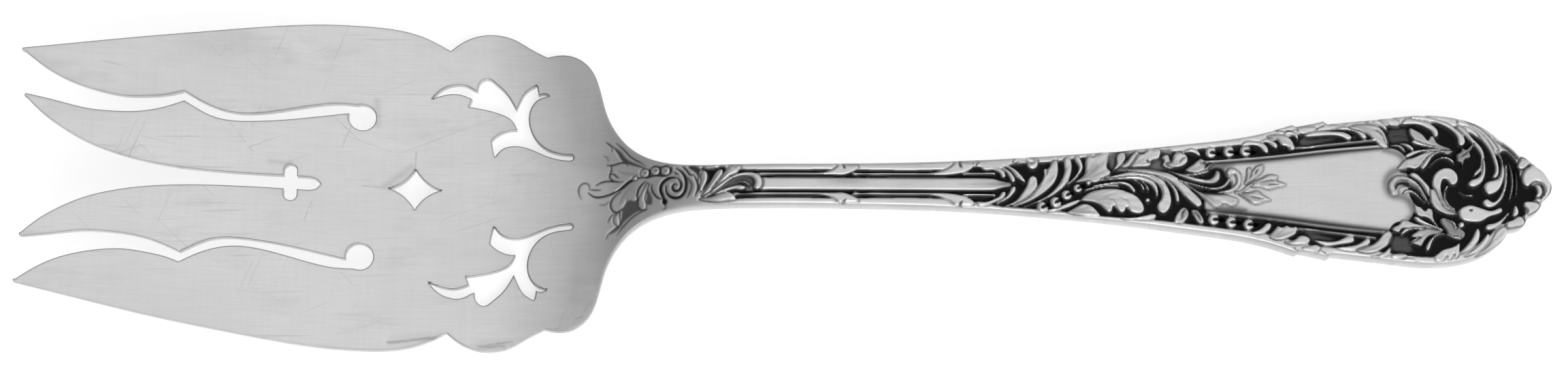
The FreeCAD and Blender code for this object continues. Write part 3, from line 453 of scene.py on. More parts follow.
SPRAY = (
    # the plain border above the first leaves
    bed((27.5, 3.3), (32.0, 3.65), (36.0, 4.0), (40.0, 4.4), (45.0, 4.85), (50.0, 5.2),
        (50.0, 4.75), (45.5, 4.25), (40.0, 3.7), (36.0, 3.3), (32.0, 2.95), (27.5, 2.75),
        lift=0.84, shade=0.1, edge=0.2),
    # under the bud row, along the lower edge
    leaf(0.8, (36.6, -4.1), (39.8, -3.3), (42.2, -2.3)),
    blade((40.3, -4.1), (41.5, -3.3), (42.8, -2.7), (43.8, -2.9), (44.7, -3.6), (45.3, -4.5),
          (43.6, -4.7), (41.8, -4.5), hollow=0.45, root=(41.0, -4.0)),
    bulb(1.0, (48.6, -4.9), (51.4, -4.85), (53.3, -4.5)),
    # the long leaves that rise from the stem
    dot(0.9, 35.3, 3.2),
    reed(0.55, (32.6, 3.5), (34.0, 3.85), (35.3, 3.6)),
    vein(0.3, (34.6, 3.2), (35.4, 3.0)),
    blade((30.6, -3.3), (32.6, -2.4), (33.8, -0.9), (34.5, 0.4), (34.7, 1.1), (35.3, 1.45),
          (35.9, 1.2), (36.1, 0.4), (36.0, -0.5), (35.2, -1.6), (33.6, -2.7), hollow=0.2,
          root=(31.0, -3.3)),
    blade((32.2, -3.3), (34.2, -2.1), (35.6, -0.9), (36.5, 0.5), (36.9, 1.7), (37.0, 2.5),
          (37.5, 2.6), (38.0, 3.3), (38.9, 3.9), (39.2, 3.0), (39.1, 1.5), (38.5, 0.2),
          (37.4, -0.9), (36.0, -1.9), (34.0, -2.9), hollow=0.3, root=(32.4, -3.3)),
    cut(0.22, (37.4, 2.9), (37.45, 2.1), (37.3, 1.4), shade=0.7),
    blade((33.6, -3.4), (36.0, -2.3), (38.2, -0.9), (39.5, 0.8), (40.0, 2.4), (39.9, 3.6),
          (40.1, 4.2), (40.7, 4.3), (41.2, 3.5), (41.2, 2.2), (40.7, 0.7), (39.7, -0.6),
          (38.0, -1.8), (36.0, -2.7), hollow=0.1, root=(34.4, -3.2)),
    bulb(1.0, (40.6, 0.2), (42.0, 1.6), (42.5, 2.9), (41.9, 4.1)),
    blade((41.6, 0.5), (42.8, 1.6), (43.1, 3.0), (43.3, 4.2), (43.8, 4.6), (44.3, 4.4),
          (44.8, 4.7), (45.9, 5.0), (46.8, 5.1), (47.0, 4.2), (46.5, 3.1), (46.6, 2.7),
          (47.0, 2.3), (46.8, 1.6), (45.8, 0.9), (44.4, 0.4), (43.4, 0.6), (42.5, 0.5),
          hollow=0.35, shade=0.05, root=(42.0, 0.3)),
    # painted shade in the fan leaf's hollow
    painted_shade(2.2, (42.6, 0.9), (43.9, 1.9), (45.0, 3.0), shade=0.5),
    # the beak leaf and what lies over it
    blade((42.4, -2.2), (43.3, -1.2), (44.8, -0.6), (47.0, -0.35), (48.7, -0.55), (50.0, -1.0),
          (51.2, -1.8), (51.8, -2.8), (51.9, -3.7), (51.3, -4.2), (50.3, -4.15), (49.6, -3.8),
          (49.2, -3.3), (49.0, -3.9), (48.4, -4.1), (47.8, -3.7), (47.3, -3.1), (47.1, -3.8),
          (46.5, -4.1), (45.9, -3.6), (45.1, -2.9), (43.8, -2.5), hollow=0.2,
          root=(42.6, -2.0)),
    vein(0.22, (45.6, -1.6), (47.2, -2.1), (47.8, -3.0), shade=0.4),
    vein(0.22, (48.0, -1.6), (49.3, -2.2), (49.7, -3.2), shade=0.4),
    reed(0.4, (43.2, -0.7), (45.2, -0.1), (48.0, 0.0), lift=0.85),
    bulb(0.7, (44.4, 0.0), (47.5, 0.45), (49.6, 0.15), (50.4, -0.7)),
    bulb(0.5, (50.2, 1.0), (51.2, 0.5), (51.8, -0.4)),
    bulb(0.5, (51.3, 0.9), (52.1, 0.3), (52.5, -0.5)),
    leaf(0.85, (45.6, 0.9), (49.6, 1.35), (52.3, 1.0), (53.5, 0.0), (53.8, -1.4)),
    blade((46.0, 1.2), (48.5, 2.0), (51.0, 2.35), (53.3, 2.0), (54.9, 0.9), (55.8, -0.7),
          (56.0, -2.3), (55.6, -3.5), (54.9, -4.1), (54.1, -3.9), (53.7, -3.2), (53.8, -2.6),
          (54.4, -1.8), (54.5, -0.9), (54.1, 0.1), (53.2, 0.9), (51.6, 1.5), (49.0, 1.5),
          hollow=0.2, root=(46.6, 1.4)),
    vein(0.2, (49.0, 1.8), (52.6, 1.7), (54.4, 0.3), (54.9, -1.8), shade=0.5),
    bulb(0.7, (52.8, 2.2), (55.3, 0.9), (56.6, -0.7), (56.9, -2.1)),
    blade((48.0, 2.5), (52.0, 2.85), (55.5, 2.2), (57.8, 0.8), (59.2, -0.7), (60.3, -1.8),
          (60.5, -2.7), (60.0, -3.1), (59.2, -2.7), (58.0, -1.6), (56.8, -0.1), (55.3, 1.1),
          (53.0, 1.9), (50.0, 2.3), hollow=0.25, root=(49.0, 2.5)),
    blade((57.4, 1.0), (58.8, 0.3), (60.2, -0.6), (61.6, -0.95), (63.4, -1.0), (64.9, -1.3),
          (65.9, -1.9), (65.6, -2.6), (64.7, -2.9), (63.6, -2.5), (63.2, -3.0), (62.4, -3.1),
          (61.6, -2.6), (60.6, -1.7), (59.3, -0.5), hollow=0.25, root=(58.2, 0.6)),
    vein(0.2, (60.4, -1.0), (61.6, -1.6), (62.6, -2.5), shade=0.45),
    # along the upper edge
    bed((47.0, 5.2), (50.0, 5.4), (53.0, 5.6), (56.0, 5.4), (56.5, 3.0), (52.0, 2.7), (49.0, 2.4),
        (47.2, 2.4), lift=0.2, shade=0.76, edge=0.5),
    blade((47.3, 2.4), (47.8, 3.4), (47.8, 4.2), (48.3, 4.9), (49.0, 5.05), (49.3, 4.4),
          (48.9, 3.6), (48.2, 2.8), hollow=0.5, shade=0.1),
    blade((48.5, 2.9), (49.2, 3.7), (50.0, 4.6), (50.7, 5.2), (51.2, 5.3), (51.0, 4.6),
          (50.3, 3.6), (49.5, 2.9), hollow=0.2, root=(48.6, 2.7)),
    blade((50.0, 3.0), (50.6, 4.2), (51.2, 4.9), (51.9, 5.0), (52.5, 5.5), (53.7, 5.7),
          (54.5, 5.5), (54.5, 4.9), (54.0, 4.1), (53.2, 3.9), (53.0, 3.3), (52.4, 3.0),
          (51.3, 2.95), hollow=0.3, root=(49.8, 2.8)),
    cut(0.3, (52.3, 4.1), (52.7, 3.7), (53.2, 3.8), lift=0.3),
    blade((54.6, 4.4), (55.1, 4.9), (55.5, 4.95), (55.8, 4.55), (55.9, 4.1), (56.4, 3.6),
          (56.5, 3.0), (56.1, 2.75), (55.4, 2.8), (54.9, 3.0), (54.6, 3.4), (54.9, 3.85),
          hollow=0.3, shade=0.15),
    blade((55.3, 3.5), (56.0, 3.9), (56.3, 4.8), (57.1, 5.3), (58.0, 5.15), (58.6, 4.4),
          (58.3, 3.5), (57.3, 3.0), (56.2, 3.0), hollow=0.25, root=(55.5, 3.4)),
    cut(0.25, (57.2, 3.7), (57.7, 4.3), (58.3, 4.6), shade=0.4),
    leaf(0.8, (57.8, 5.3), (59.4, 5.5), (60.3, 4.9)),
    blade((58.1, 2.6), (58.9, 3.3), (59.9, 4.1), (60.6, 4.4), (61.2, 4.1), (62.2, 3.9),
          (62.3, 3.5), (61.8, 2.9), (61.0, 2.4), (60.2, 2.1), (59.3, 2.1), hollow=0.35,
          root=(58.4, 2.5)),
    cut(0.35, (61.0, 2.8), (61.4, 3.4), (62.0, 3.7), lift=0.3),
    dot(0.4, 52.4, -2.1),
    # scrolls towards the panel
    pit((57.5, 2.2), (60.4, 2.0), (62.0, 2.8), (63.6, 2.9), (64.2, 1.8), (65.0, 0.6), (64.6, -0.5),
        (62.6, -0.9), (60.2, -0.6), (58.6, 0.5), lift=0.25, shade=0.95, edge=0.4),
    # painted shade beside the scrolls, above and below
    painted_shade(2.4, (61.6, 3.2), (63.4, 3.3), (65.4, 3.6), shade=0.45),
    painted_shade(2.2, (62.4, -3.4), (64.6, -3.5), (67.0, -3.5), shade=0.55),
    bulb(0.5, (57.0, 2.1), (59.4, 1.9), (61.5, 2.4)),
    blade((55.6, 2.5), (58.4, 1.8), (60.6, 1.3), (61.9, 1.4), (62.4, 2.0), (62.7, 2.6),
          (63.2, 2.5), (63.4, 1.8), (63.1, 0.9), (62.2, 0.5), (60.6, 0.6), (58.4, 1.2),
          hollow=0.0, root=(56.4, 2.2)),
    bulb(0.6, (57.2, 1.1), (60.4, 0.1), (62.6, -0.2), (64.1, 0.4), (64.6, 1.2)),
    # below, by the end of the fillet
    blade((57.9, -3.0), (57.0, -3.55), (56.45, -4.5), (56.25, -5.3), (57.1, -5.6), (57.9, -5.3),
          (58.5, -4.4), (58.4, -3.4), hollow=0.5, shade=0.1, root=(58.0, -2.8)),
    cut(0.25, (58.0, -3.3), (57.5, -4.0), (57.4, -4.8), shade=0.7),
    blade((58.9, -3.4), (59.7, -3.4), (60.4, -4.2), (60.7, -5.5), (60.1, -5.6), (59.5, -5.1),
          (59.1, -4.3), hollow=0.5, shade=0.15, root=(58.9, -3.2)),
    cut(0.25, (59.2, -3.7), (59.9, -4.4), (60.2, -5.1), shade=0.7),
    *husk(0.9, 36.7, -3.4, 30),
    *husk(0.88, 38.7, -2.6, 30),
    *husk(0.82, 40.35, -1.5, 30),
    *husk(0.7, 42.0, -0.45, 30),
    dot(0.4, 43.6, 0.4),
)

SPRIG = (
    blade((62.8, -0.75), (64.2, -0.85), (65.5, -0.5), (66.3, 0.4), (66.5, 1.6), (66.1, 2.5),
          (65.2, 3.0), (64.4, 2.8), (64.2, 2.1), (64.8, 1.8), (65.3, 2.0), (65.6, 1.5),
          (65.6, 0.7), (65.1, 0.1), (64.0, -0.4), hollow=0.0),
    blade((67.0, 0.5), (67.2, 2.0), (67.4, 3.0), (67.9, 3.1), (68.1, 2.6), (68.6, 3.2),
          (69.2, 3.5), (69.7, 3.6), (69.8, 3.0), (69.5, 2.3), (68.9, 1.7), (68.2, 1.1),
          (67.4, 0.5), hollow=0.3, root=(66.6, -0.2)),
    cut(0.2, (68.0, 2.6), (67.9, 1.9), (67.6, 1.3), shade=0.7),
    cut(0.25, (69.0, 2.9), (68.7, 2.5), (68.5, 2.0), shade=0.6),
    blade((67.3, 0.4), (68.6, 1.2), (69.4, 1.5), (70.3, 2.0), (71.2, 2.1), (71.9, 1.8),
          (71.8, 1.3), (72.3, 1.0), (73.1, 0.5), (72.6, 0.2), (71.9, 0.1), (71.0, -0.2),
          (70.0, -0.2), (69.2, 0.1), (68.2, 0.1), hollow=0.3, root=(66.8, -0.2)),
    cut(0.2, (69.2, 0.8), (70.4, 1.1), (71.7, 1.3), shade=0.7),
    cut(0.22, (70.4, 0.5), (71.4, 0.6), (72.1, 0.5), shade=0.7),
    blade((66.0, -0.9), (67.2, -0.7), (68.2, -0.5), (69.0, -0.45), (69.5, -0.9), (70.1, -1.3),
          (70.8, -1.9), (69.9, -2.1), (69.0, -2.5), (67.9, -2.4), (67.1, -1.8), hollow=0.3,
          root=(65.8, -0.8)),
    cut(0.22, (67.8, -1.2), (68.8, -1.5), (69.8, -1.7), shade=0.7),
    reed(0.35, (65.6, -0.8), (66.5, -0.6), (67.3, 0.1), (68.0, 0.5)),
)

HUSK_ROWS = (
    *husk(0.9, 62.0, 5.3, 0), *husk(0.9, 64.7, 5.45, 0), *husk(0.9, 67.2, 5.6, 0),
    *husk(0.9, 62.2, -4.9, 5), *husk(0.9, 64.8, -5.3, 5), *husk(0.88, 67.4, -5.6, 5),
)

FILLETS = both_sides((
    # painted shade along the inner side of each fillet, on both sides
    painted_shade(1.9, (60.5, 3.6), (66.0, 4.0), (70.0, 4.4), (75.0, 5.0), (80.0, 5.62), (85.0, 6.1),
          (88.6, 6.4), shade=0.75),
    reed(0.5, (61.5, 3.9), (66.0, 4.3), (70.0, 4.7), (75.0, 5.3), (80.0, 5.92), (85.0, 6.4),
         (88.4, 6.7)),
    reed(0.55, (74.0, 6.1), (80.0, 6.75), (86.2, 7.45)),
    bed((75.4, 6.9), (80.0, 7.35), (86.0, 8.0), (87.0, 8.4), (83.0, 8.4), (79.0, 8.6), (75.8, 8.0),
        lift=0.1, shade=0.84, edge=0.3),
)) + [
    # painted shade round the panel's end and the shell scroll
    painted_shade(2.0, (87.9, 5.9), (89.6, 5.5), (90.8, 4.6), (90.4, 3.3), (89.2, 2.6), (88.3, 1.6),
          (88.2, 0.2), (88.8, -0.9), (90.4, -1.2), (91.8, -2.4), (92.0, -3.9), (90.8, -4.9),
          (89.0, -6.1), shade=0.42),
]

EDGES = (
    # upper edge
    blade((66.6, 6.5), (68.3, 6.4), (69.5, 5.9), (70.1, 5.3), (70.6, 5.3), (70.7, 5.9),
          (70.3, 6.6), (69.6, 7.0), (68.3, 7.15), (67.0, 7.0), hollow=0.15),
    blade((69.4, 7.0), (70.4, 6.9), (71.2, 6.3), (71.9, 6.0), (72.1, 6.6), (71.4, 7.2),
          (70.2, 7.5), hollow=0.1),
    blade((73.0, 8.2), (74.3, 8.1), (75.1, 7.4), (75.2, 8.0), (74.4, 8.6), (73.4, 8.7),
          hollow=0.1),
    blade((70.4, 7.8), (71.7, 7.5), (72.3, 6.9), (72.7, 6.4), (73.3, 6.3), (73.7, 5.9),
          (74.5, 5.8), (74.5, 6.9), (73.9, 7.7), (72.9, 8.2), (71.6, 8.3), hollow=0.3,
          root=(70.6, 8.1)),
    cut(0.25, (70.4, 8.9), (72.4, 8.75), (74.2, 8.8), (75.0, 9.2), shade=0.6),
    blade((74.9, 9.0), (75.9, 9.4), (77.1, 9.5), (78.0, 9.2), (77.8, 8.8), (77.0, 8.6),
          (76.3, 8.3), (75.6, 8.3), hollow=0.2),
    cut(0.22, (77.6, 9.0), (78.5, 9.4), (79.3, 9.8), shade=0.7),
    cut(0.2, (79.8, 9.7), (81.4, 9.75), (83.0, 9.9), shade=0.35),
    blade((76.0, 8.0), (78.0, 7.9), (80.3, 8.05), (81.8, 7.75), (82.8, 7.4), (83.3, 7.8),
          (82.8, 8.4), (81.0, 8.8), (78.6, 8.8), (76.8, 8.5), hollow=0.0),
    blade((80.4, 9.1), (82.6, 8.9), (84.2, 8.2), (85.0, 7.6), (85.5, 7.8), (85.2, 8.5),
          (84.3, 9.2), (82.8, 9.5), (81.2, 9.4), hollow=0.1),
    blade((82.8, 9.5), (84.7, 8.8), (86.2, 7.7), (87.2, 6.7), (88.0, 6.3), (88.6, 6.4),
          (88.7, 7.5), (88.2, 8.7), (87.0, 9.7), (85.4, 10.0), (83.8, 9.9), hollow=0.3,
          root=(83.4, 9.8)),
    cut(0.2, (86.4, 9.3), (87.5, 8.5), (88.1, 7.4), (88.2, 6.7), shade=0.6),
    leaf(0.7, (85.4, 10.3), (87.5, 10.0), (88.5, 9.1)),
    blade((86.8, 10.6), (88.2, 10.3), (89.0, 9.7), (89.8, 9.5), (90.4, 9.6), (90.5, 10.3),
          (89.7, 10.8), (88.3, 10.95), hollow=0.2),
    # lower edge
    blade((67.8, -6.9), (69.2, -6.1), (70.2, -5.3), (70.8, -5.4), (70.7, -6.2), (70.0, -6.8),
          (68.8, -7.1), hollow=0.15),
    blade((70.4, -7.3), (71.2, -6.3), (71.8, -5.7), (72.5, -5.9), (73.0, -5.6), (73.7, -5.9),
          (74.6, -5.8), (74.6, -6.7), (73.8, -7.4), (72.6, -7.8), (71.4, -7.9), hollow=0.3,
          root=(70.8, -7.7)),
    blade((72.6, -8.2), (74.1, -7.8), (74.9, -7.2), (75.9, -7.2), (76.6, -7.8), (76.3, -8.4),
          (75.2, -8.6), (73.6, -8.6), hollow=0.25, root=(72.6, -8.4)),
    blade((75.2, -9.0), (76.2, -8.8), (77.3, -8.5), (78.0, -8.9), (77.6, -9.6), (76.6, -10.0),
          (75.4, -10.0), (75.0, -9.5), hollow=0.2),
    cut(0.25, (73.9, -8.9), (74.5, -9.4), (74.9, -10.0), shade=0.7),
    cut(0.22, (77.9, -9.2), (78.7, -9.8), (79.5, -10.4), shade=0.6),
    blade((77.0, -7.9), (79.0, -8.0), (81.0, -7.7), (82.2, -7.2), (83.0, -7.3), (83.2, -7.9),
          (82.2, -8.4), (80.2, -8.7), (78.2, -8.6), hollow=0.0),
    blade((80.4, -9.0), (82.8, -8.6), (84.5, -7.8), (85.2, -7.5), (85.6, -7.9), (85.2, -8.6),
          (84.0, -9.3), (82.2, -9.5), hollow=0.1),
    blade((83.4, -9.4), (85.5, -8.5), (87.0, -7.3), (88.1, -6.4), (88.8, -6.5), (88.8, -7.6),
          (87.9, -8.8), (86.6, -9.5), (85.0, -9.8), hollow=0.3, root=(83.8, -9.6)),
    leaf(0.75, (85.8, -10.3), (87.7, -9.9), (88.6, -8.9)),
    blade((88.4, -10.2), (89.5, -9.7), (90.6, -9.7), (91.0, -10.1), (90.2, -10.5),
          (89.1, -10.6), hollow=0.2),
    cut(0.22, (90.0, -10.8), (91.0, -10.4), (92.0, -10.6), shade=0.6),
    cut(0.2, (92.0, -11.2), (92.6, -11.05), (93.3, -11.3), lift=0.15, shade=0.6),
)

END_BANDS = (
    # the arms that follow the edge, from the rim inwards
    cut(0.25, (99.0, 11.0), (101.5, 10.0), (103.4, 8.6), (104.9, 6.6), (105.6, 4.9), lift=0.2),
    blade((99.0, 10.6), (101.0, 9.9), (102.8, 8.5), (104.0, 6.8), (104.9, 4.8), (105.2, 3.2),
          (104.9, 2.0), (104.4, 1.7), (104.1, 1.9), (104.3, 2.5), (104.3, 4.3), (103.6, 6.2),
          (102.3, 8.0), (100.5, 9.7), (99.0, 10.1), hollow=0.15),
    blade((99.0, 9.8), (100.5, 9.0), (101.5, 7.8), (102.6, 6.6), (103.1, 5.0), (102.9, 3.6),
          (102.2, 2.5), (101.2, 2.0), (101.3, 2.5), (102.1, 3.4), (102.4, 4.9), (101.9, 6.1),
          (100.9, 7.3), (99.9, 8.4), (98.8, 9.2), hollow=0.1, shade=0.1),
    blade((98.75, 4.7), (98.85, 5.5), (99.4, 5.85), (99.7, 6.55), (100.2, 6.2), (100.7, 6.5),
          (101.35, 7.05), (101.25, 6.2), (100.9, 5.75), (101.05, 5.1), (100.6, 4.7), (100.2, 4.6),
          (99.75, 3.4), (99.3, 4.1), (98.95, 4.2), hollow=0.0, shade=0.55),
    cut(0.25, (101.2, 6.5), (100.2, 5.5), (99.3, 4.9), shade=0.95),
    vein(0.3, (99.2, 5.9), (99.9, 6.5), (100.8, 6.7), shade=0.3),
    bulb(1.4, (102.9, 4.4), (102.8, 2.6), (102.1, 1.4), (100.9, 0.9)),
    blade((106.2, 4.0), (106.4, 2.0), (106.2, 0.3), (105.6, -1.2), (104.8, -2.2), (103.6, -2.8),
          (102.7, -2.5), (102.4, -1.9), (102.7, -1.5), (103.3, -1.4), (104.0, -1.8),
          (104.9, -1.2), (105.5, -0.1), (105.9, 1.6), (106.0, 3.6), hollow=0.1),
    blade((104.9, 6.0), (105.4, 4.6), (105.4, 3.2), (105.1, 2.0), (104.6, 1.6), (103.6, 1.4),
          (102.9, 0.9), (102.7, 0.3), (102.9, -0.4), (103.4, -0.8), (104.1, -0.7), (104.9, -0.2),
          (105.6, 0.9), (105.95, 2.5), (105.8, 4.3), (105.3, 5.6), hollow=0.0),
    leaf(0.45, (106.6, 4.4), (107.0, 2.4), (107.0, 0.4), (106.5, -1.6), shade=0.35),
    leaf(0.4, (107.6, 3.2), (107.7, 1.2), (107.5, -0.8), shade=0.6),
    bulb(0.45, (99.1, -0.3), (99.7, -0.8), (100.3, -1.0), (101.0, -0.9), shade=0.15),
    blade((99.0, -2.9), (99.7, -2.5), (100.7, -2.3), (101.6, -2.5), (102.7, -2.9), (104.0, -3.1),
          (105.4, -2.8), (105.5, -3.1), (104.5, -3.9), (103.3, -4.3), (102.3, -4.9),
          (101.0, -5.05), (99.8, -4.9), (99.0, -4.4), (98.7, -3.6), hollow=0.0),
    cut(0.5, (100.5, -3.2), (100.8, -3.15), lift=0.4, shade=1.0),
    bulb(1.1, (106.3, -3.6), (105.4, -4.6), (104.3, -5.4), (103.1, -5.8)),
    leaf(1.2, (99.0, -9.6), (100.3, -8.6), (101.3, -7.4), (101.6, -6.2), hollow=0.15),
    leaf(0.9, (99.6, -10.1), (101.5, -9.0), (102.7, -7.7), (103.1, -6.9)),
    blade((101.0, -10.3), (103.0, -9.4), (104.4, -8.4), (105.5, -7.4), (106.1, -6.3),
          (105.8, -5.6), (104.8, -5.9), (104.1, -6.6), (103.5, -7.6), (102.8, -8.6),
          (101.8, -9.5), hollow=0.25, root=(101.4, -9.9)),
)

END_LEAVES = (
    bed((88.7, 9.2), (90.0, 9.6), (91.5, 9.5), (92.5, 8.6), (92.5, 7.3), (90.6, 7.1),
        (88.8, 7.3), lift=0.15, shade=0.9, edge=0.5),
    vein(0.2, (89.2, 8.2), (90.8, 8.3), (92.0, 7.9), shade=1.0),
    leaf(0.5, (89.0, 6.7), (90.2, 6.6), (91.2, 5.7)),
    leaf(0.7, (90.5, 7.0), (91.5, 6.7), (92.4, 5.9)),
    blade((92.0, 11.3), (95.0, 11.0), (97.5, 10.3), (99.2, 9.1), (100.2, 7.9), (100.2, 7.0),
          (99.6, 6.6), (99.1, 6.9), (99.0, 7.6), (98.2, 8.9), (96.8, 9.8), (94.5, 10.5),
          (92.0, 10.9), hollow=0.1),
    blade((91.0, 10.6), (93.0, 10.7), (94.5, 10.4), (95.8, 9.6), (96.3, 8.7), (96.0, 8.0),
          (95.6, 8.1), (95.2, 8.7), (94.3, 9.4), (92.5, 9.9), (90.7, 10.1), hollow=0.1),
    blade((91.9, 9.4), (92.9, 9.1), (93.6, 8.7), (94.3, 8.0), (94.6, 7.6), (94.9, 8.1),
          (95.2, 8.3), (95.6, 8.0), (95.9, 7.4), (96.4, 7.0), (97.4, 6.6), (98.3, 5.9),
          (98.2, 5.6), (97.0, 6.0), (95.8, 6.3), (94.4, 6.6), (93.3, 7.0), (92.2, 7.9),
          (91.8, 8.7), hollow=0.5, shade=0.15, root=(97.8, 6.0)),
    bulb(0.7, (97.6, 6.0), (96.0, 6.4), (94.2, 6.7), (92.4, 7.3)),
    blade((89.9, 3.1), (90.3, 3.8), (91.0, 4.5), (92.0, 4.8), (93.0, 5.2), (94.4, 5.8),
          (95.8, 6.1), (98.4, 5.8), (97.6, 5.4), (96.5, 5.6), (95.3, 5.4), (94.2, 4.6),
          (93.5, 3.7), (92.7, 3.1), (91.4, 3.2), (90.4, 3.0), hollow=0.55, root=(97.5, 5.7)),
    bulb(0.75, (96.4, 6.1), (94.4, 6.0), (92.8, 5.7), (91.4, 5.1)),
    bulb(0.8, (98.0, 5.9), (96.2, 5.7), (95.0, 5.0), (94.3, 4.1), (93.7, 3.3)),
    bulb(0.55, (94.8, 3.6), (96.0, 4.6), (97.3, 4.8), (98.3, 4.2)),
    blade((94.9, -10.3), (95.4, -9.8), (96.0, -9.3), (97.0, -8.9), (98.3, -8.4), (98.9, -8.1),
          (98.9, -8.8), (98.6, -10.0), (98.1, -10.5), (97.9, -9.8), (97.6, -10.4),
          (97.1, -10.7), (96.7, -10.1), (96.4, -10.7), (95.8, -11.0), (95.1, -10.8), hollow=0.4),
    bulb(0.8, (96.6, -6.7), (95.2, -7.2), (94.5, -8.0), (94.0, -9.1)),
    bulb(0.4, (93.2, -7.3), (92.3, -7.6), (91.5, -8.1)),
    bed((88.8, -7.2), (90.5, -7.0), (91.8, -7.9), (91.6, -9.3), (90.0, -9.7), (88.7, -9.2),
        lift=0.15, shade=0.88, edge=0.5),
    blade((96.5, -6.3), (94.8, -5.9), (93.3, -6.0), (92.3, -6.5), (91.6, -7.2), (92.2, -7.4),
          (93.0, -7.3), (92.2, -7.8), (91.5, -8.2), (92.3, -8.5), (93.1, -8.7), (93.6, -8.0),
          (94.3, -7.2), (95.6, -6.8), hollow=0.3, shade=0.2, root=(96.4, -6.4)),
    leaf(0.65, (93.6, -6.0), (91.6, -6.0), (90.7, -6.4), (90.2, -6.9)),
    blade((88.8, -6.1), (89.3, -5.6), (90.0, -5.2), (90.2, -4.8), (91.0, -4.7), (92.0, -5.0),
          (93.0, -5.3), (95.0, -5.7), (96.6, -6.2), (94.5, -5.95), (92.5, -5.8), (91.0, -5.95),
          (90.2, -6.2), (90.0, -6.5), (89.3, -6.5), hollow=0.45, root=(95.0, -5.9)),
    blade((92.3, -2.0), (92.6, -2.4), (93.3, -2.7), (93.9, -3.2), (94.1, -2.9), (94.6, -2.8),
          (95.0, -3.2), (95.1, -4.0), (95.6, -5.2), (96.4, -6.1), (95.2, -5.3), (94.0, -4.3),
          (93.2, -4.2), (92.6, -3.9), (92.2, -3.1), hollow=0.5, root=(95.6, -5.5)),
    bulb(0.8, (96.4, -6.1), (94.4, -5.4), (93.2, -4.9), (92.4, -4.4)),
    blade((96.0, -4.5), (96.9, -4.3), (98.0, -5.0), (98.9, -5.8), (99.8, -6.7), (99.4, -7.5),
          (98.3, -7.7), (97.3, -7.2), (96.8, -6.2), (96.1, -5.2), hollow=0.35, shade=0.5),
    leaf(0.5, (97.1, -4.6), (98.1, -5.2), (98.3, -5.9)),
    leaf(0.45, (96.9, -6.8), (97.9, -7.3), (98.9, -7.3)),
    dot(0.5, 99.2, -5.4),
    # a band of painted shade between the lowest leaf and the shell scroll
    painted_shade(1.5, (90.4, 2.7), (91.8, 2.6), (93.4, 2.5), shade=0.8),
)

END_SCROLLS = (
    blade((94.7, -1.1), (94.8, 0.0), (94.2, 1.0), (93.3, 2.0), (92.2, 2.6), (91.6, 2.3),
          (92.4, 1.6), (93.3, 0.8), (93.9, -0.2), hollow=0.0),
    blade((90.0, -0.6), (89.4, -1.0), (88.8, -0.8), (88.4, -0.1), (88.4, 0.8), (89.0, 1.7),
          (90.0, 2.15), (91.0, 2.05), (92.4, 1.4), (93.3, 0.5), (94.0, -0.7), (94.6, -2.2),
          (93.6, -1.3), (92.3, 0.0), (91.2, 0.5), (90.4, 0.4), (89.9, -0.1), hollow=0.0,
          root=(94.4, -2.0)),
    cut(0.75, (89.5, 0.0), (89.8, 0.7), (90.6, 0.9), (92.0, 0.5), (93.2, -0.6), lift=0.3,
        shade=0.75),
    cut(0.25, (89.3, 0.3), (89.6, 1.0), (90.4, 1.4), (91.8, 1.15), (93.2, 0.0), (94.3, -1.8)),
    cut(0.2, (90.2, 0.7), (91.8, 0.5), (93.0, -0.5), (94.0, -1.8), shade=1.0),
    cut(0.2, (90.4, 1.1), (92.0, 0.8), (93.2, -0.4), (94.2, -1.8), shade=1.0),
    leaf(0.5, (93.8, -1.9), (93.0, -1.2), (92.0, -0.4), (91.2, -0.3), (90.6, -0.9)),
    blade((94.8, 0.1), (95.5, 0.0), (96.0, -1.0), (96.3, -2.0), (97.0, -2.8), (98.0, -3.3),
          (98.8, -3.7), (97.5, -3.9), (96.2, -3.5), (95.3, -2.9), (94.7, -2.0), (94.6, -0.9),
          hollow=0.4, root=(98.0, -3.6)),
    blade((95.1, 0.3), (95.0, 1.5), (95.6, 2.6), (96.6, 3.25), (97.7, 3.35), (98.6, 2.8),
          (99.0, 1.9), (98.8, 1.0), (98.2, 0.6), (97.6, 0.9), (97.2, 1.4), (96.8, 1.5),
          (96.5, 1.0), (96.4, 0.0), (96.6, -1.2), (97.1, -2.3), (98.0, -3.0), (98.7, -3.4),
          (97.6, -3.1), (96.5, -2.3), (95.9, -1.2), (95.5, -0.2), hollow=0.35),
    cut(0.2, (96.0, 0.2), (96.2, -1.2), (96.8, -2.3), (97.7, -3.1), shade=0.8),
    reed(0.35, (97.3, 0.5), (96.9, -0.4), (96.9, -1.4), (97.3, -2.3), (98.2, -3.0)),
)

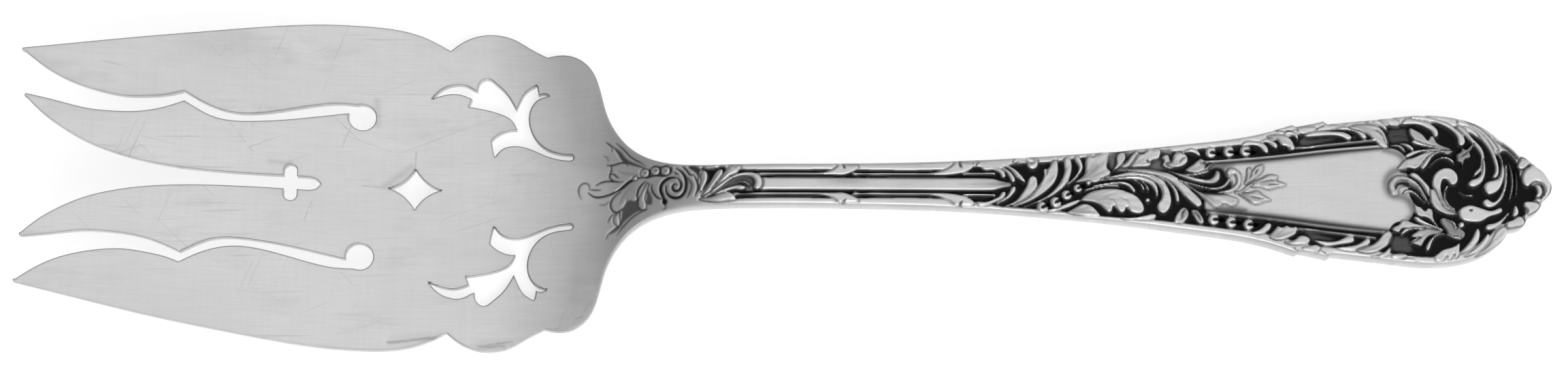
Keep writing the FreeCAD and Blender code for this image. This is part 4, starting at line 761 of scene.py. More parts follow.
CREST = (
    reed(0.55, (104.8, 7.8), (106.2, 6.9), (107.4, 5.9), (108.2, 5.0)),
    # painted shade just inside the crest's upper rod
    painted_shade(1.0, (105.6, 6.6), (106.8, 5.8), (107.7, 4.8), shade=0.6),
    blade((107.8, 3.5), (108.0, 4.1), (108.5, 4.75), (109.2, 4.7), (109.9, 4.2), (109.6, 3.8),
          (109.1, 3.3), (108.5, 3.1), hollow=0.3),
    blade((107.4, -2.3), (107.9, -3.3), (107.6, -4.0), (107.0, -4.2), (106.9, -3.4),
          hollow=0.0),
    blade((105.8, -5.2), (106.9, -4.5), (108.2, -4.0), (108.6, -4.6), (108.6, -5.1),
          (107.5, -5.6), (106.5, -5.8), (105.9, -5.6), hollow=0.3),
    blade((108.6, -1.9), (109.5, -1.7), (110.6, -1.9), (111.0, -2.3), (110.7, -2.9),
          (110.0, -3.4), (109.3, -3.7), (109.1, -3.1), (108.6, -2.5), hollow=0.3),
    blade((108.5, 1.0), (108.4, 1.7), (108.7, 2.7), (109.4, 3.4), (110.3, 3.7), (111.0, 3.5),
          (111.7, 3.0), (112.4, 2.0), (112.8, 0.9), (112.6, -0.3), (112.0, -1.2), (111.3, -1.7),
          (111.3, -1.3), (111.8, -0.6), (111.8, 0.1), (111.5, 0.8), (110.9, 1.2), (110.3, 1.2),
          (109.8, 0.8), (109.4, 0.4), (109.0, 0.5), hollow=0.0),
    blade((110.4, 0.75), (111.0, 0.8), (111.5, 0.2), (111.5, -0.6), (111.0, -1.1), (110.4, -1.1),
          (110.6, -0.4), hollow=0.0),
)

CARVING = (
    *STEM, *STEM_END, *NECK, *SPRAY, *FILLETS, *HUSK_ROWS, *SPRIG, *EDGES, *END_BANDS,
    *END_LEAVES, *END_SCROLLS, *CREST,
)


def spline(points, step):
    """Points, a step apart, on a smooth curve through the drawn ones."""
    drawn = np.array(points, dtype=float)
    chords = np.hypot(*np.diff(drawn, axis=0).T)
    knots = np.concatenate([[0.0], np.cumsum(chords)])
    count = len(drawn)
    places = np.linspace(0.0, knots[-1], max(2, math.ceil(knots[-1] / step) + 1))
    if count == 2:
        return drawn[0] + (drawn[1] - drawn[0]) * (places / knots[-1])[:, None]
    system = np.eye(count)
    pull = np.zeros((count, drawn.shape[1]))
    for i in range(1, count - 1):
        before, after = chords[i - 1], chords[i]
        system[i, i - 1:i + 2] = before, 2 * (before + after), after
        pull[i] = 6 * ((drawn[i + 1] - drawn[i]) / after - (drawn[i] - drawn[i - 1]) / before)
    bends = np.linalg.solve(system, pull)
    i = np.clip(np.searchsorted(knots, places, side="right") - 1, 0, count - 2)
    span = chords[i][:, None]
    left = (knots[i + 1] - places)[:, None]
    right = (places - knots[i])[:, None]
    curved = (bends[i] * left ** 3 + bends[i + 1] * right ** 3) / (6 * span)
    start = (drawn[i] / span - bends[i] * span / 6) * left
    end = (drawn[i + 1] / span - bends[i + 1] * span / 6) * right
    return curved + start + end


def arc(points, step):
    """Points, a step apart, on the arc through three drawn ones."""
    a, b, c = (complex(*p) for p in points)
    turn = (c - a) / (b - a)
    if abs(turn.imag) < 1e-6:
        return spline((points[0], points[2]), step)
    centre = (b - a) * (turn - abs(turn) ** 2) / (turn - turn.conjugate()) + a
    radius = abs(a - centre)
    first = math.atan2((a - centre).imag, (a - centre).real)
    full = 2 * math.pi
    middle = (math.atan2((b - centre).imag, (b - centre).real) - first) % full
    last = (math.atan2((c - centre).imag, (c - centre).real) - first) % full
    sweep = last if middle <= last else last - full
    count = max(3, math.ceil(abs(sweep) * radius / step) + 1)
    angles = first + np.linspace(0.0, sweep, count)
    return np.stack([centre.real + radius * np.cos(angles), centre.imag + radius * np.sin(angles)],
                    axis=1)


def loop_of(runs, step):
    """A closed outline from its runs."""
    pieces = []
    for run in runs:
        curve = arc(run, step) if len(run) == 3 else spline(run, step)
        pieces.append(curve[:-1])
    return np.concatenate(pieces)


def ring_of(points, step):
    """Points, a step apart, on a smooth closed curve through the drawn ones."""
    lead = min(3, len(points))
    wrapped = points[-lead:] + points + points[:lead]
    curve = spline(wrapped, step)
    steps = np.concatenate([[0.0], np.cumsum(np.hypot(*np.diff(np.array(wrapped), axis=0).T))])
    begin, end = steps[lead], steps[lead + len(points)]
    places = np.linspace(0.0, steps[-1], len(curve))
    return curve[(places >= begin) & (places < end)]


def mirrored(runs):
    """The same runs on the other side of the middle line, in the opposite order."""
    return tuple(tuple((x, -y) for x, y in reversed(run)) for run in reversed(runs))


def normals_of(ahead):
    """Unit vectors square to these."""
    aside = np.stack([-ahead[:, 1], ahead[:, 0]], axis=1)
    return aside / np.linalg.norm(aside, axis=1)[:, None]


def inside_of(loops, x, y):
    """Which places lie inside an odd number of the loops."""
    inside = np.zeros(x.shape, bool)
    for loop in loops:
        for a, b in zip(loop, np.roll(loop, -1, axis=0)):
            band = (a[1] > y) != (b[1] > y)
            if band.any():
                at = a[0] + (y[band] - a[1]) * (b[0] - a[0]) / (b[1] - a[1])
                inside[band] ^= x[band] < at
    return inside


def soft_step(value):
    """Turns 0..1 into an eased 0..1."""
    value = np.clip(value, 0.0, 1.0)
    return value * value * (3 - 2 * value)


def blurred(field, cells):
    """The field averaged three times over a few cells each way."""
    width = 2 * cells + 1
    for _ in range(3):
        for axis in (0, 1):
            pad = [(0, 0), (0, 0)]
            pad[axis] = (cells + 1, cells)
            total = np.cumsum(np.pad(field, pad, mode="edge"), axis=axis)
            ahead = np.take(total, range(width, total.shape[axis]), axis=axis)
            behind = np.take(total, range(0, total.shape[axis] - width), axis=axis)
            field = (ahead - behind) / width
    return field


class Relief:
    """The carved face: its height over the sheet and how dark the silver is, on a fine grid."""

    LOW_X = -34.0
    HIGH_X = 113.3
    HALF_Y = 12.6
    PITCH = 0.05
    # The dark line round a form, wider on the neck and the crest
    MOAT = 0.14
    MOAT_DEPTH = 0.5
    MOAT_STATIONS = (-12.0, -9.0, 103.5, 105.5)
    MOAT_WIDENINGS = (1.7, 1.0, 1.0, 1.9)
    # The handle's face is plain outside the ground; the neck's and the crest's isn't
    PLAIN_STATIONS = (-13.0, -9.0, 104.5, 106.5)
    PLAIN_SHARES = (0.0, 1.0, 1.0, 0.0)
    # How far a form's sides and a full hollow fall under its crown
    FLANK = 0.42
    HOLLOW_FALL = 0.3
    LEAF_SHOULDER = 0.55
    FOLD_WIDTH = 1.0
    # Darkness on a form's rim, in its hollow and at its root: partly oxide, partly painted shade
    RIM_SHADE = 0.4
    HOLLOW_SHADE = 0.3
    ROOT_SHADE = 0.3
    # The neck is carved less deep, and its lines are darker
    NECK_STATIONS = (-32.0, -16.0, -9.0)
    NECK_DEPTHS = (0.2, 0.4, 1.0)
    NECK_TONE_STATIONS = (-33.0, -14.0, -11.0)
    NECK_TONES = (1.2, 1.2, 1.0)

    def __init__(self):
        self.xs = np.arange(self.LOW_X, self.HIGH_X, self.PITCH)
        self.ys = np.arange(-self.HALF_Y, self.HALF_Y, self.PITCH)
        shape = (len(self.ys), len(self.xs))
        self.height = np.zeros(shape)
        self.dark = np.zeros(shape)
        self.plain = np.ones(shape)
        self.panel = np.zeros(shape)
        widening = np.interp(self.xs, self.MOAT_STATIONS, self.MOAT_WIDENINGS)
        self.reach = np.zeros(shape) + self.MOAT * widening

    def window(self, points, reach):
        """Slices and coordinates of the grid around some points."""
        low = points.min(axis=0) - reach
        high = points.max(axis=0) + reach
        x0, x1 = np.searchsorted(self.xs, (low[0], high[0]))
        y0, y1 = np.searchsorted(self.ys, (low[1], high[1]))
        place = (slice(y0, y1), slice(x0, x1))
        grid_x, grid_y = np.meshgrid(self.xs[x0:x1], self.ys[y0:y1])
        return place, grid_x, grid_y

    def fill(self, outline, height, dark, edge):
        """Levels and tones a closed outline, with a soft edge."""
        place, grid_x, grid_y = self.window(outline, edge)
        inside = inside_of([outline], grid_x, grid_y)
        cover = blurred(inside.astype(float), max(1, round(edge / self.PITCH / 2)))
        self.height[place] += (height - self.height[place]) * cover
        self.dark[place] += (dark - self.dark[place]) * cover

    @staticmethod
    def along_line(stroke, grid_x, grid_y, line):
        """For each cell: distance past the stroke's edge, half width and share of length there."""
        steps = np.hypot(*np.diff(line, axis=0).T)
        shares = np.concatenate([[0.0], np.cumsum(steps)]) / steps.sum()
        form = np.array(WIDTH_FORMS[stroke.form])
        halves = stroke.width / 2 * np.interp(shares, form[:, 0], form[:, 1])
        past = np.full(grid_x.shape, 1e9)
        half = np.ones(grid_x.shape)
        share = np.zeros(grid_x.shape)
        for i in range(len(line) - 1):
            ax, ay = line[i]
            bx, by = line[i + 1] - line[i]
            along = np.clip(((grid_x - ax) * bx + (grid_y - ay) * by) / (bx * bx + by * by), 0, 1)
            away = np.hypot(grid_x - ax - along * bx, grid_y - ay - along * by)
            here = halves[i] + along * (halves[i + 1] - halves[i])
            closer = away - here < past
            past = np.where(closer, away - here, past)
            half = np.where(closer, here, half)
            share = np.where(closer, shares[i] + along * (shares[i + 1] - shares[i]), share)
        return past, half, share

    @staticmethod
    def to_outline(outline, grid_x, grid_y):
        """Distance of each cell to the outline."""
        away = np.full(grid_x.shape, 1e9)
        for a, b in zip(outline, np.roll(outline, -1, axis=0)):
            bx, by = b - a
            along = ((grid_x - a[0]) * bx + (grid_y - a[1]) * by) / max(bx * bx + by * by, 1e-9)
            along = np.clip(along, 0, 1)
            here = np.hypot(grid_x - a[0] - along * bx, grid_y - a[1] - along * by)
            away = np.minimum(away, here)
        return away

    def domed(self, lift, out, well):
        """Height of a form, from how far out each cell lies (0 to 1) and how hollow it is."""
        crown = (1 - out ** 2.4) ** 0.6
        return RELIEF * lift - GROUND_DEPTH - self.FLANK * (1 - crown) - self.HOLLOW_FALL * well

    def sink_moat(self, place, past):
        """Cuts a dark line round a form."""
        height = self.height[place]
        moat = 1 - soft_step(past / self.reach[place])
        depth = self.MOAT_DEPTH * (1 - 0.6 * self.plain[place])
        self.height[place] = np.minimum(height, height * (1 - moat) - depth * moat)
        self.dark[place] = np.maximum(self.dark[place], moat * (1 - 0.45 * self.plain[place]))

    def lay(self, place, past, raised, toned):
        """Puts a form's own height and tone inside its edge."""
        cover = np.clip(0.5 - past / self.PITCH, 0.0, 1.0)
        self.height[place] += (raised - self.height[place]) * cover
        self.dark[place] += (np.clip(toned, 0.0, 1.0) - self.dark[place]) * cover

    def carve_blade(self, stroke):
        """A leaf inside its outline, folded towards its root if it has one."""
        outline = ring_of(stroke.points, 0.12)
        place, grid_x, grid_y = self.window(outline, 2 * self.MOAT)
        inside = inside_of([outline], grid_x, grid_y)
        away = self.to_outline(outline, grid_x, grid_y)
        past = np.where(inside, -away, away)
        self.sink_moat(place, past)
        deepest = away[inside].max() if inside.any() else self.PITCH
        out = 1 - np.clip(away / min(self.LEAF_SHOULDER, deepest), 0.0, 1.0)
        well = stroke.hollow * soft_step(away / (0.9 * deepest))
        raised = self.domed(stroke.lift, out, well)
        # darker rim, hollow and root: partly oxide, partly painted shade
        toned = stroke.shade + self.RIM_SHADE * soft_step(1 - away / 0.12)
        toned += self.HOLLOW_SHADE * well
        if stroke.root:
            span = np.hypot(*np.ptp(outline, axis=0)) * 0.6
            from_x, from_y = grid_x - stroke.root[0], grid_y - stroke.root[1]
            near = soft_step(1 - np.hypot(from_x, from_y) / span)
            folds = span / self.FOLD_WIDTH
            fold = (0.5 + 0.5 * np.cos(2 * math.pi * folds * np.arctan2(from_y, from_x))) ** 3
            toned += self.ROOT_SHADE * near + 0.13 * fold
            raised -= 0.25 * near + 0.05 * fold
        self.lay(place, past, raised, toned)

    def carve_line(self, stroke):
        """A groove, a band of painted shade or a raised form along its centre line."""
        line = spline(stroke.points, 0.3)
        place, grid_x, grid_y = self.window(line, stroke.width / 2 + 2 * self.MOAT)
        past, half, share = self.along_line(stroke, grid_x, grid_y, line)
        out = np.clip(1 + past / half, 0.0, 1.0)
        # a cut sinks and darkens its groove; a band of painted shade only darkens
        if stroke.form in ("cut", "painted_shade"):
            depth = 1 - soft_step(1.5 * out - 0.5 if stroke.form == "cut" else out)
            self.height[place] -= stroke.lift * depth
            self.dark[place] = np.maximum(self.dark[place], stroke.shade * depth)
            return
        self.sink_moat(place, past)
        even = stroke.form == "reed"
        rooted = 1.0 if even else 0.72 + 0.28 * soft_step(share / 0.5)
        well = stroke.hollow * soft_step(1 - out / 0.8) * (1 - 0.6 * share)
        raised = self.domed(stroke.lift * rooted, out, well)
        # darker root, rim and hollow: partly oxide, partly painted shade
        root_shade = 0.0 if even else self.ROOT_SHADE * (1 - soft_step(share / 0.45))
        toned = root_shade + self.RIM_SHADE * soft_step((out - 0.75) / 0.25)
        toned += self.HOLLOW_SHADE * well + stroke.shade
        self.lay(place, past, raised, toned)

    def carve(self, stroke):
        """Puts one stroke on the grid."""
        if stroke.form == "blade":
            self.carve_blade(stroke)
        elif stroke.form == "bed":
            height = RELIEF * stroke.lift - GROUND_DEPTH
            self.fill(ring_of(stroke.points, 0.2), height, stroke.shade, stroke.width)
        else:
            self.carve_line(stroke)

    def finish(self):
        """Sets the neck's depth, puts painted shade on the bare panel next to the dark ground, and
        darkens the hollows left between the forms.
        """
        self.height *= np.interp(self.xs, self.NECK_STATIONS, self.NECK_DEPTHS)
        # painted shade on the bare panel where it meets the dark ground
        self.dark += 0.75 * self.panel * np.clip(blurred(self.dark, 9) - 0.04, 0.0, 0.6)
        sunk = np.clip(blurred(self.height, 6) - self.height - 0.02, 0.0, 0.4)
        tones = np.interp(self.xs, self.NECK_TONE_STATIONS, self.NECK_TONES)
        self.dark = np.clip(tones * self.dark + 0.9 * sunk, 0.0, 1.0)

    def sample(self, field, points):
        """The field at drawn points; nothing outside the grid."""
        across = np.clip((points[:, 0] - self.LOW_X) / self.PITCH, 0, len(self.xs) - 1.001)
        up = np.clip((points[:, 1] + self.HALF_Y) / self.PITCH, 0, len(self.ys) - 1.001)
        i, j = across.astype(int), up.astype(int)
        u, v = across - i, up - j
        low = field[j, i] * (1 - u) + field[j, i + 1] * u
        high = field[j + 1, i] * (1 - u) + field[j + 1, i + 1] * u
        inside = (points[:, 0] >= self.LOW_X) & (abs(points[:, 1]) < self.HALF_Y)
        return np.where(inside, low * (1 - v) + high * v, 0.0)


def carved_relief():
    """The whole carving of the handle, from its ground up."""
    relief = Relief()
    side = spline(GROUND_SIDE, 0.5)
    end = spline(GROUND_END, 0.5)
    start = arc(GROUND_START, 0.5)
    other_side = side[::-1] * (1, -1)
    ground = np.concatenate([side[:-1], end[:-1], other_side[:-1], start[:-1]])
    relief.fill(ground, -GROUND_DEPTH, 1.0, 0.2)
    relief.plain = (1 - relief.dark) * np.interp(relief.xs, relief.PLAIN_STATIONS,
                                                 relief.PLAIN_SHARES)
    panel_side = arc(PANEL_SIDE, 0.5)
    panel_end = spline(PANEL_END, 0.5)
    panel = np.concatenate([panel_side[:-1], panel_end[:-1], panel_side[::-1] * (1, -1)])
    relief.fill(panel, -PANEL_STEP, 0.0, 0.1)
    relief.panel = 1 - relief.dark - relief.plain
    relief.panel[:, (relief.xs < PANEL_START_X) | (relief.xs > PANEL_END_X)] = 0.0
    relief.plain += 0.6 * relief.panel
    for stroke in CARVING:
        relief.carve(stroke)
    relief.finish()
    return relief


def grid_points(low, high, spacing):
    """A staggered grid of points over a rectangle."""
    rows = np.arange(low[1], high[1], spacing * math.sqrt(0.75))
    columns = np.arange(low[0], high[0], spacing)
    x, y = np.meshgrid(columns, rows)
    x[1::2] += spacing / 2
    return np.stack([x.ravel(), y.ravel()], axis=1)


class Plan:
    """The fork's outline and piercings, as closed loops."""

    STEP = 0.3

    def __init__(self):
        outline = loop_of(SIDE_RUNS + CREST_RUNS + mirrored(SIDE_RUNS), self.STEP)
        self.holes = [loop_of(runs, self.STEP) for runs in (DIAMOND_RUNS, LEAF_RUNS,
                                                            mirrored(LEAF_RUNS))]
        self.loops = [outline] + self.holes
        dense = []
        for loop in self.loops:
            for a, b in zip(loop, np.roll(loop, -1, axis=0)):
                dense.extend(a + (b - a) * share for share in (0.0, 0.25, 0.5, 0.75))
        self.tree = KDTree(len(dense))
        for i, (x, y) in enumerate(dense):
            self.tree.insert((x, y, 0.0), i)
        self.tree.balance()

    def to_edge(self, points):
        """Distance of each point to the nearest edge."""
        return np.array([self.tree.find((x, y, 0.0))[2] for x, y in points])

    def kept(self, points, clear):
        """The points inside the outline that lie at least that far from its edges."""
        points = points[inside_of(self.loops, *points.T)]
        return points[self.to_edge(points) > clear]

    def rings(self, distances):
        """Points inside the edge at these distances from it."""
        found = []
        for loop in self.loops:
            inward = normals_of(np.roll(loop, -1, axis=0) - np.roll(loop, 1, axis=0))
            for distance in distances:
                for sign in (-1, 1):
                    found.append(self.kept(loop + sign * inward * distance, 0.9 * distance))
        return np.concatenate(found)

    def triangles(self, free):
        """Points and triangles of the plan, and which points are the loops'."""
        points = np.concatenate(self.loops + [free])
        edges = []
        start = 0
        for loop in self.loops:
            last = start + len(loop) - 1
            edges.extend((i, i + 1) for i in range(start, last))
            edges.append((last, start))
            start = last + 1
        flat = [Vector(p) for p in points]
        made = delaunay_2d_cdt(flat, edges, [], 1, 1e-6)
        placed = np.array([tuple(v) for v in made[0]])
        corners = np.array(made[2])
        middle = placed[corners].mean(axis=1)
        corners = corners[~inside_of(self.holes, *middle.T)]
        order = np.full(len(points), -1)
        for new, olds in enumerate(made[3]):
            order[olds] = new
        return placed, corners, order[:start]


class Shape:
    """Heights of the fork over the table."""

    TOP_ROUND_PLATE = 0.18
    TOP_ROUND_HANDLE = 0.5
    ROUNDING_START = -30.0
    ROUNDING_LENGTH = 15.0
    UNDER_ROUND = 0.3

    def __init__(self):
        curve = spline(UPPER_HEIGHTS, 0.25)
        self.upper_x, self.upper_z = curve[:, 0], curve[:, 1] + LIFT

    def top_round(self, x):
        """Radius of the upper edge, small on the plate and larger on the handle."""
        share = soft_step((x - self.ROUNDING_START) / self.ROUNDING_LENGTH)
        return self.TOP_ROUND_PLATE + share * (self.TOP_ROUND_HANDLE - self.TOP_ROUND_PLATE)

    def upper(self, x):
        """Height of the upper face."""
        return np.interp(x, self.upper_x, self.upper_z)

    def lower(self, x):
        """Height of the under side."""
        return self.upper(x) - np.interp(x, THICKNESS_STATIONS, THICKNESSES)

    @staticmethod
    def rolled(distance, radius):
        """How far a rounded edge falls at this distance inside it."""
        inset = np.clip(radius - distance, 0.0, radius)
        return radius - np.sqrt(np.maximum(radius * radius - inset * inset, 0.0))


def detail_points(relief, finest):
    """Points over the carving, closer where it turns or changes tone."""
    height = blurred(relief.height, 1)
    dark = blurred(relief.dark, 1)
    turn = abs(4 * height - np.roll(height, 1, 0) - np.roll(height, -1, 0)
               - np.roll(height, 1, 1) - np.roll(height, -1, 1))
    change = abs(np.gradient(dark, axis=0)) + abs(np.gradient(dark, axis=1))
    worth = blurred(turn + 0.06 * change, 2)
    corner = (relief.LOW_X, -relief.HALF_Y)
    opposite = (relief.HIGH_X, relief.HALF_Y)
    found = []
    for spacing, least, most in ((0.5, -1.0, 0.0008), (0.25, 0.0008, 0.004), (finest, 0.004, 9.0)):
        points = grid_points(corner, opposite, spacing)
        here = relief.sample(worth, points)
        found.append(points[(here > least) & (here <= most)])
    return np.concatenate(found)


def along_rods(points):
    """The points, with straight rows of them in place of the grid's along the panel's rods."""
    rails = []
    for rod in FILLETS:
        if rod.form != "reed":
            continue
        line = spline(rod.points, 0.16)
        aside = normals_of(np.gradient(line, axis=0))
        half = rod.width / 2
        near = np.zeros(len(points), bool)
        for spot in line:
            near |= ((points - spot) ** 2).sum(axis=1) < (half + 0.2) ** 2
        points = points[~near]
        rails.extend(line + off * aside for off in (
            -half - 0.13, -half - 0.03, 0.06 - half, 0.0, half - 0.06, half + 0.03, half + 0.13))
    return np.concatenate([points] + rails)


def wall_faces(loops, top_edge, under_edge):
    """Triangles that join the edges of the top and the under side."""
    walls = []
    start = 0
    for loop in loops:
        size = len(loop)
        for k in range(size):
            a, b = start + k, start + (k + 1) % size
            walls.append((top_edge[a], under_edge[a], under_edge[b]))
            walls.append((top_edge[a], under_edge[b], top_edge[b]))
        start += size
    return np.array(walls)


def fork_mesh(sizes):
    """One closed skin: the carved top, the under side and the wall between them."""
    relief = carved_relief()
    plan = Plan()
    shape = Shape()
    plate = grid_points((-113.0, -25.0), (-33.5, 25.0), sizes.plate_spacing / MM)
    carving = along_rods(detail_points(relief, sizes.carving_spacing / MM))
    free = plan.kept(np.concatenate([plate, carving]), 0.42)
    ring = plan.rings((0.02, 0.07, 0.16, 0.3))
    top, top_faces, top_edge = plan.triangles(np.concatenate([ring, free]))
    under_free = plan.kept(grid_points((-113.0, -25.0), (113.5, 25.0), UNDER_SPACING), 0.8)
    under_ring = plan.rings((0.12, 0.4))
    under, under_faces, under_edge = plan.triangles(np.concatenate([under_ring, under_free]))

    top_distance = plan.to_edge(top)
    top_distance[top_edge] = 0.0
    top_z = shape.upper(top[:, 0]) + relief.sample(blurred(relief.height, 1), top)
    top_z -= shape.rolled(top_distance, shape.top_round(top[:, 0]))
    under_distance = plan.to_edge(under)
    under_distance[under_edge] = 0.0
    under_z = shape.lower(under[:, 0]) + shape.rolled(under_distance, shape.UNDER_ROUND)
    dark = relief.sample(blurred(relief.dark, 1), top)
    # painted shade along the rounded edges of the upper face
    dark = np.maximum(dark, EDGE_PAINTED_SHADE * soft_step(1 - top_distance / EDGE_PAINTED_SHADE_WIDTH))

    count = len(top)
    points = np.concatenate([np.column_stack([top, top_z]), np.column_stack([under, under_z])])
    faces = [top_faces, under_faces[:, ::-1] + count,
             wall_faces(plan.loops, top_edge, under_edge + count)]
    tone = np.concatenate([dark, np.full(len(under), UNDER_TONE)])
    return points * MM, np.concatenate(faces), tone


class ForkSizes(bpy.types.PropertyGroup):
    """Fineness of the fork's skin"""

    plate_spacing: bpy.props.FloatProperty(
        name="Plate spacing", description="Distance between points on the plain plate",
        default=0.0012, unit="LENGTH")
    carving_spacing: bpy.props.FloatProperty(
        name="Carving spacing", description="Distance between points on the finest carving",
        default=0.000145, unit="LENGTH")


class SilverLook(bpy.types.PropertyGroup):
    """Colours and gloss of the silver"""

    silver: bpy.props.FloatVectorProperty(
        name="Silver", description="Colour of the polished metal", subtype="COLOR", size=3,
        default=(0.86, 0.86, 0.86))
    oxide: bpy.props.FloatVectorProperty(
        name="Oxide", description="Colour of the darkened ground", subtype="COLOR", size=3,
        default=(0.016, 0.016, 0.017))
    roughness: bpy.props.FloatProperty(
        name="Roughness", description="Softness of the silver's reflections", default=0.32,
        min=0.0, max=1.0, subtype="FACTOR")


class StageLook(bpy.types.PropertyGroup):
    """Table, light and camera"""

    floor_colour: bpy.props.FloatVectorProperty(
        name="Table", description="Colour of the table's surface", subtype="COLOR", size=3,
        default=(0.93, 0.93, 0.93))
    world_level: bpy.props.FloatProperty(
        name="Room light", description="Strength of the light from all round", default=0.98)
    key_power: bpy.props.FloatProperty(
        name="Main light", description="Power of the large soft light", default=0.8, unit="POWER")
    lens: bpy.props.FloatProperty(
        name="Lens", description="Focal length on a 36 mm wide frame", default=98.0,
        unit="CAMERA")


class Nodes:
    """Short ways to add nodes to an emptied tree."""

    def __init__(self, tree):
        self.tree = tree
        tree.nodes.clear()

    def feed(self, socket, value):
        """Links another node's output to the socket, or sets a plain value on it."""
        if isinstance(value, bpy.types.NodeSocket):
            self.tree.links.new(value, socket)
        else:
            socket.default_value = value

    def add(self, kind, **inputs):
        """A node with its inputs fed by name."""
        node = self.tree.nodes.new(kind)
        for name, value in inputs.items():
            self.feed(node.inputs[name.replace("_", " ")], value)
        return node

    def mathed(self, operation, a, b):
        """Two values put together."""
        node = self.add("ShaderNodeMath")
        node.operation = operation
        self.feed(node.inputs[0], a)
        self.feed(node.inputs[1], b)
        return node.outputs[0]

    def ranged(self, value, low, high, bottom=0.0, top=1.0, form="LINEAR"):
        """A value mapped from between two levels to between two others."""
        node = self.add("ShaderNodeMapRange", Value=value, From_Min=low, From_Max=high,
                        To_Min=bottom, To_Max=top)
        node.interpolation_type = form
        return node.outputs[0]

    def mixed(self, factor, a, b):
        """One colour going over into another."""
        node = self.add("ShaderNodeMix")
        node.data_type = "RGBA"
        sockets = {socket.identifier: socket for socket in node.inputs}
        self.feed(sockets["Factor_Float"], factor)
        for name, value in (("A_Color", a), ("B_Color", b)):
            linked = isinstance(value, bpy.types.NodeSocket)
            self.feed(sockets[name], value if linked else (*value, 1.0))
        return next(s for s in node.outputs if s.identifier == "Result_Color")


class SilverNodes(Nodes):
    """Ways to draw the marks of polishing and use on the fork, and painted shade on it."""

    def __init__(self, tree):
        super().__init__(tree)
        self.place = self.add("ShaderNodeTexCoord").outputs["Object"]
        parts = self.add("ShaderNodeSeparateXYZ", Vector=self.place)
        self.x, self.y = parts.outputs["X"], parts.outputs["Y"]

    def streaks(self, length, turn, fineness, detail):
        """Noise drawn out that many times along a direction in the plan."""
        mapping = self.add("ShaderNodeMapping")
        mapping.vector_type = "TEXTURE"
        mapping.inputs["Rotation"].default_value = (0.0, 0.0, turn)
        mapping.inputs["Scale"].default_value = (length, 1.0, 10.0)
        self.feed(mapping.inputs["Vector"], self.place)
        return self.add("ShaderNodeTexNoise", Vector=mapping.outputs[0], Scale=fineness,
                        Detail=detail, Roughness=0.6).outputs["Fac"]

    def scratches(self, turn, fineness, least, most):
        """Sparse fine lines, as 0 to 1."""
        lines = self.streaks(length=60.0, turn=turn, fineness=fineness, detail=1.0)
        return self.ranged(lines, least, most)

    def mark(self, start, end, width, strength):
        """A straight mark between two drawn points, as 0 to its strength."""
        run = Vector(end) - Vector(start)
        along_x = self.mathed("SUBTRACT", self.x, start[0] * MM)
        along_y = self.mathed("SUBTRACT", self.y, start[1] * MM)
        reach = run.length_squared * MM
        share = self.mathed("ADD", self.mathed("MULTIPLY", along_x, run.x / reach),
                            self.mathed("MULTIPLY", along_y, run.y / reach))
        share = self.mathed("MINIMUM", self.mathed("MAXIMUM", share, 0.0), 1.0)
        off_x = self.mathed("SUBTRACT", along_x, self.mathed("MULTIPLY", share, run.x * MM))
        off_y = self.mathed("SUBTRACT", along_y, self.mathed("MULTIPLY", share, run.y * MM))
        away = self.mathed("SQRT", self.mathed("ADD", self.mathed("MULTIPLY", off_x, off_x),
                                               self.mathed("MULTIPLY", off_y, off_y)), 0.0)
        near = self.mathed("SUBTRACT", 1.0, self.ranged(away, 0.0, width * MM))
        return self.mathed("MULTIPLY", near, strength)

    def marks_and_painted_shade(self):
        """The marks, broken here and there, and the soft tones, the widest of them painted shade.
        """
        cover = 0.0
        for drawn in MARKS:
            cover = self.mathed("MAXIMUM", cover, self.mark(*drawn))
        breaks = self.streaks(length=6.0, turn=0.12, fineness=1400.0, detail=3.0)
        cover = self.mathed("MULTIPLY", cover, self.ranged(breaks, 0.3, 0.55))
        # soft tones, the widest of them painted shade over the plate's shoulders
        for drawn in SOFT_TONES_AND_PAINTED_SHADE:
            cover = self.mathed("MAXIMUM", cover, self.mark(*drawn))
        return cover


def new_material(name):
    """An empty node material."""
    material = bpy.data.materials.new(name)
    material.use_nodes = True
    return material


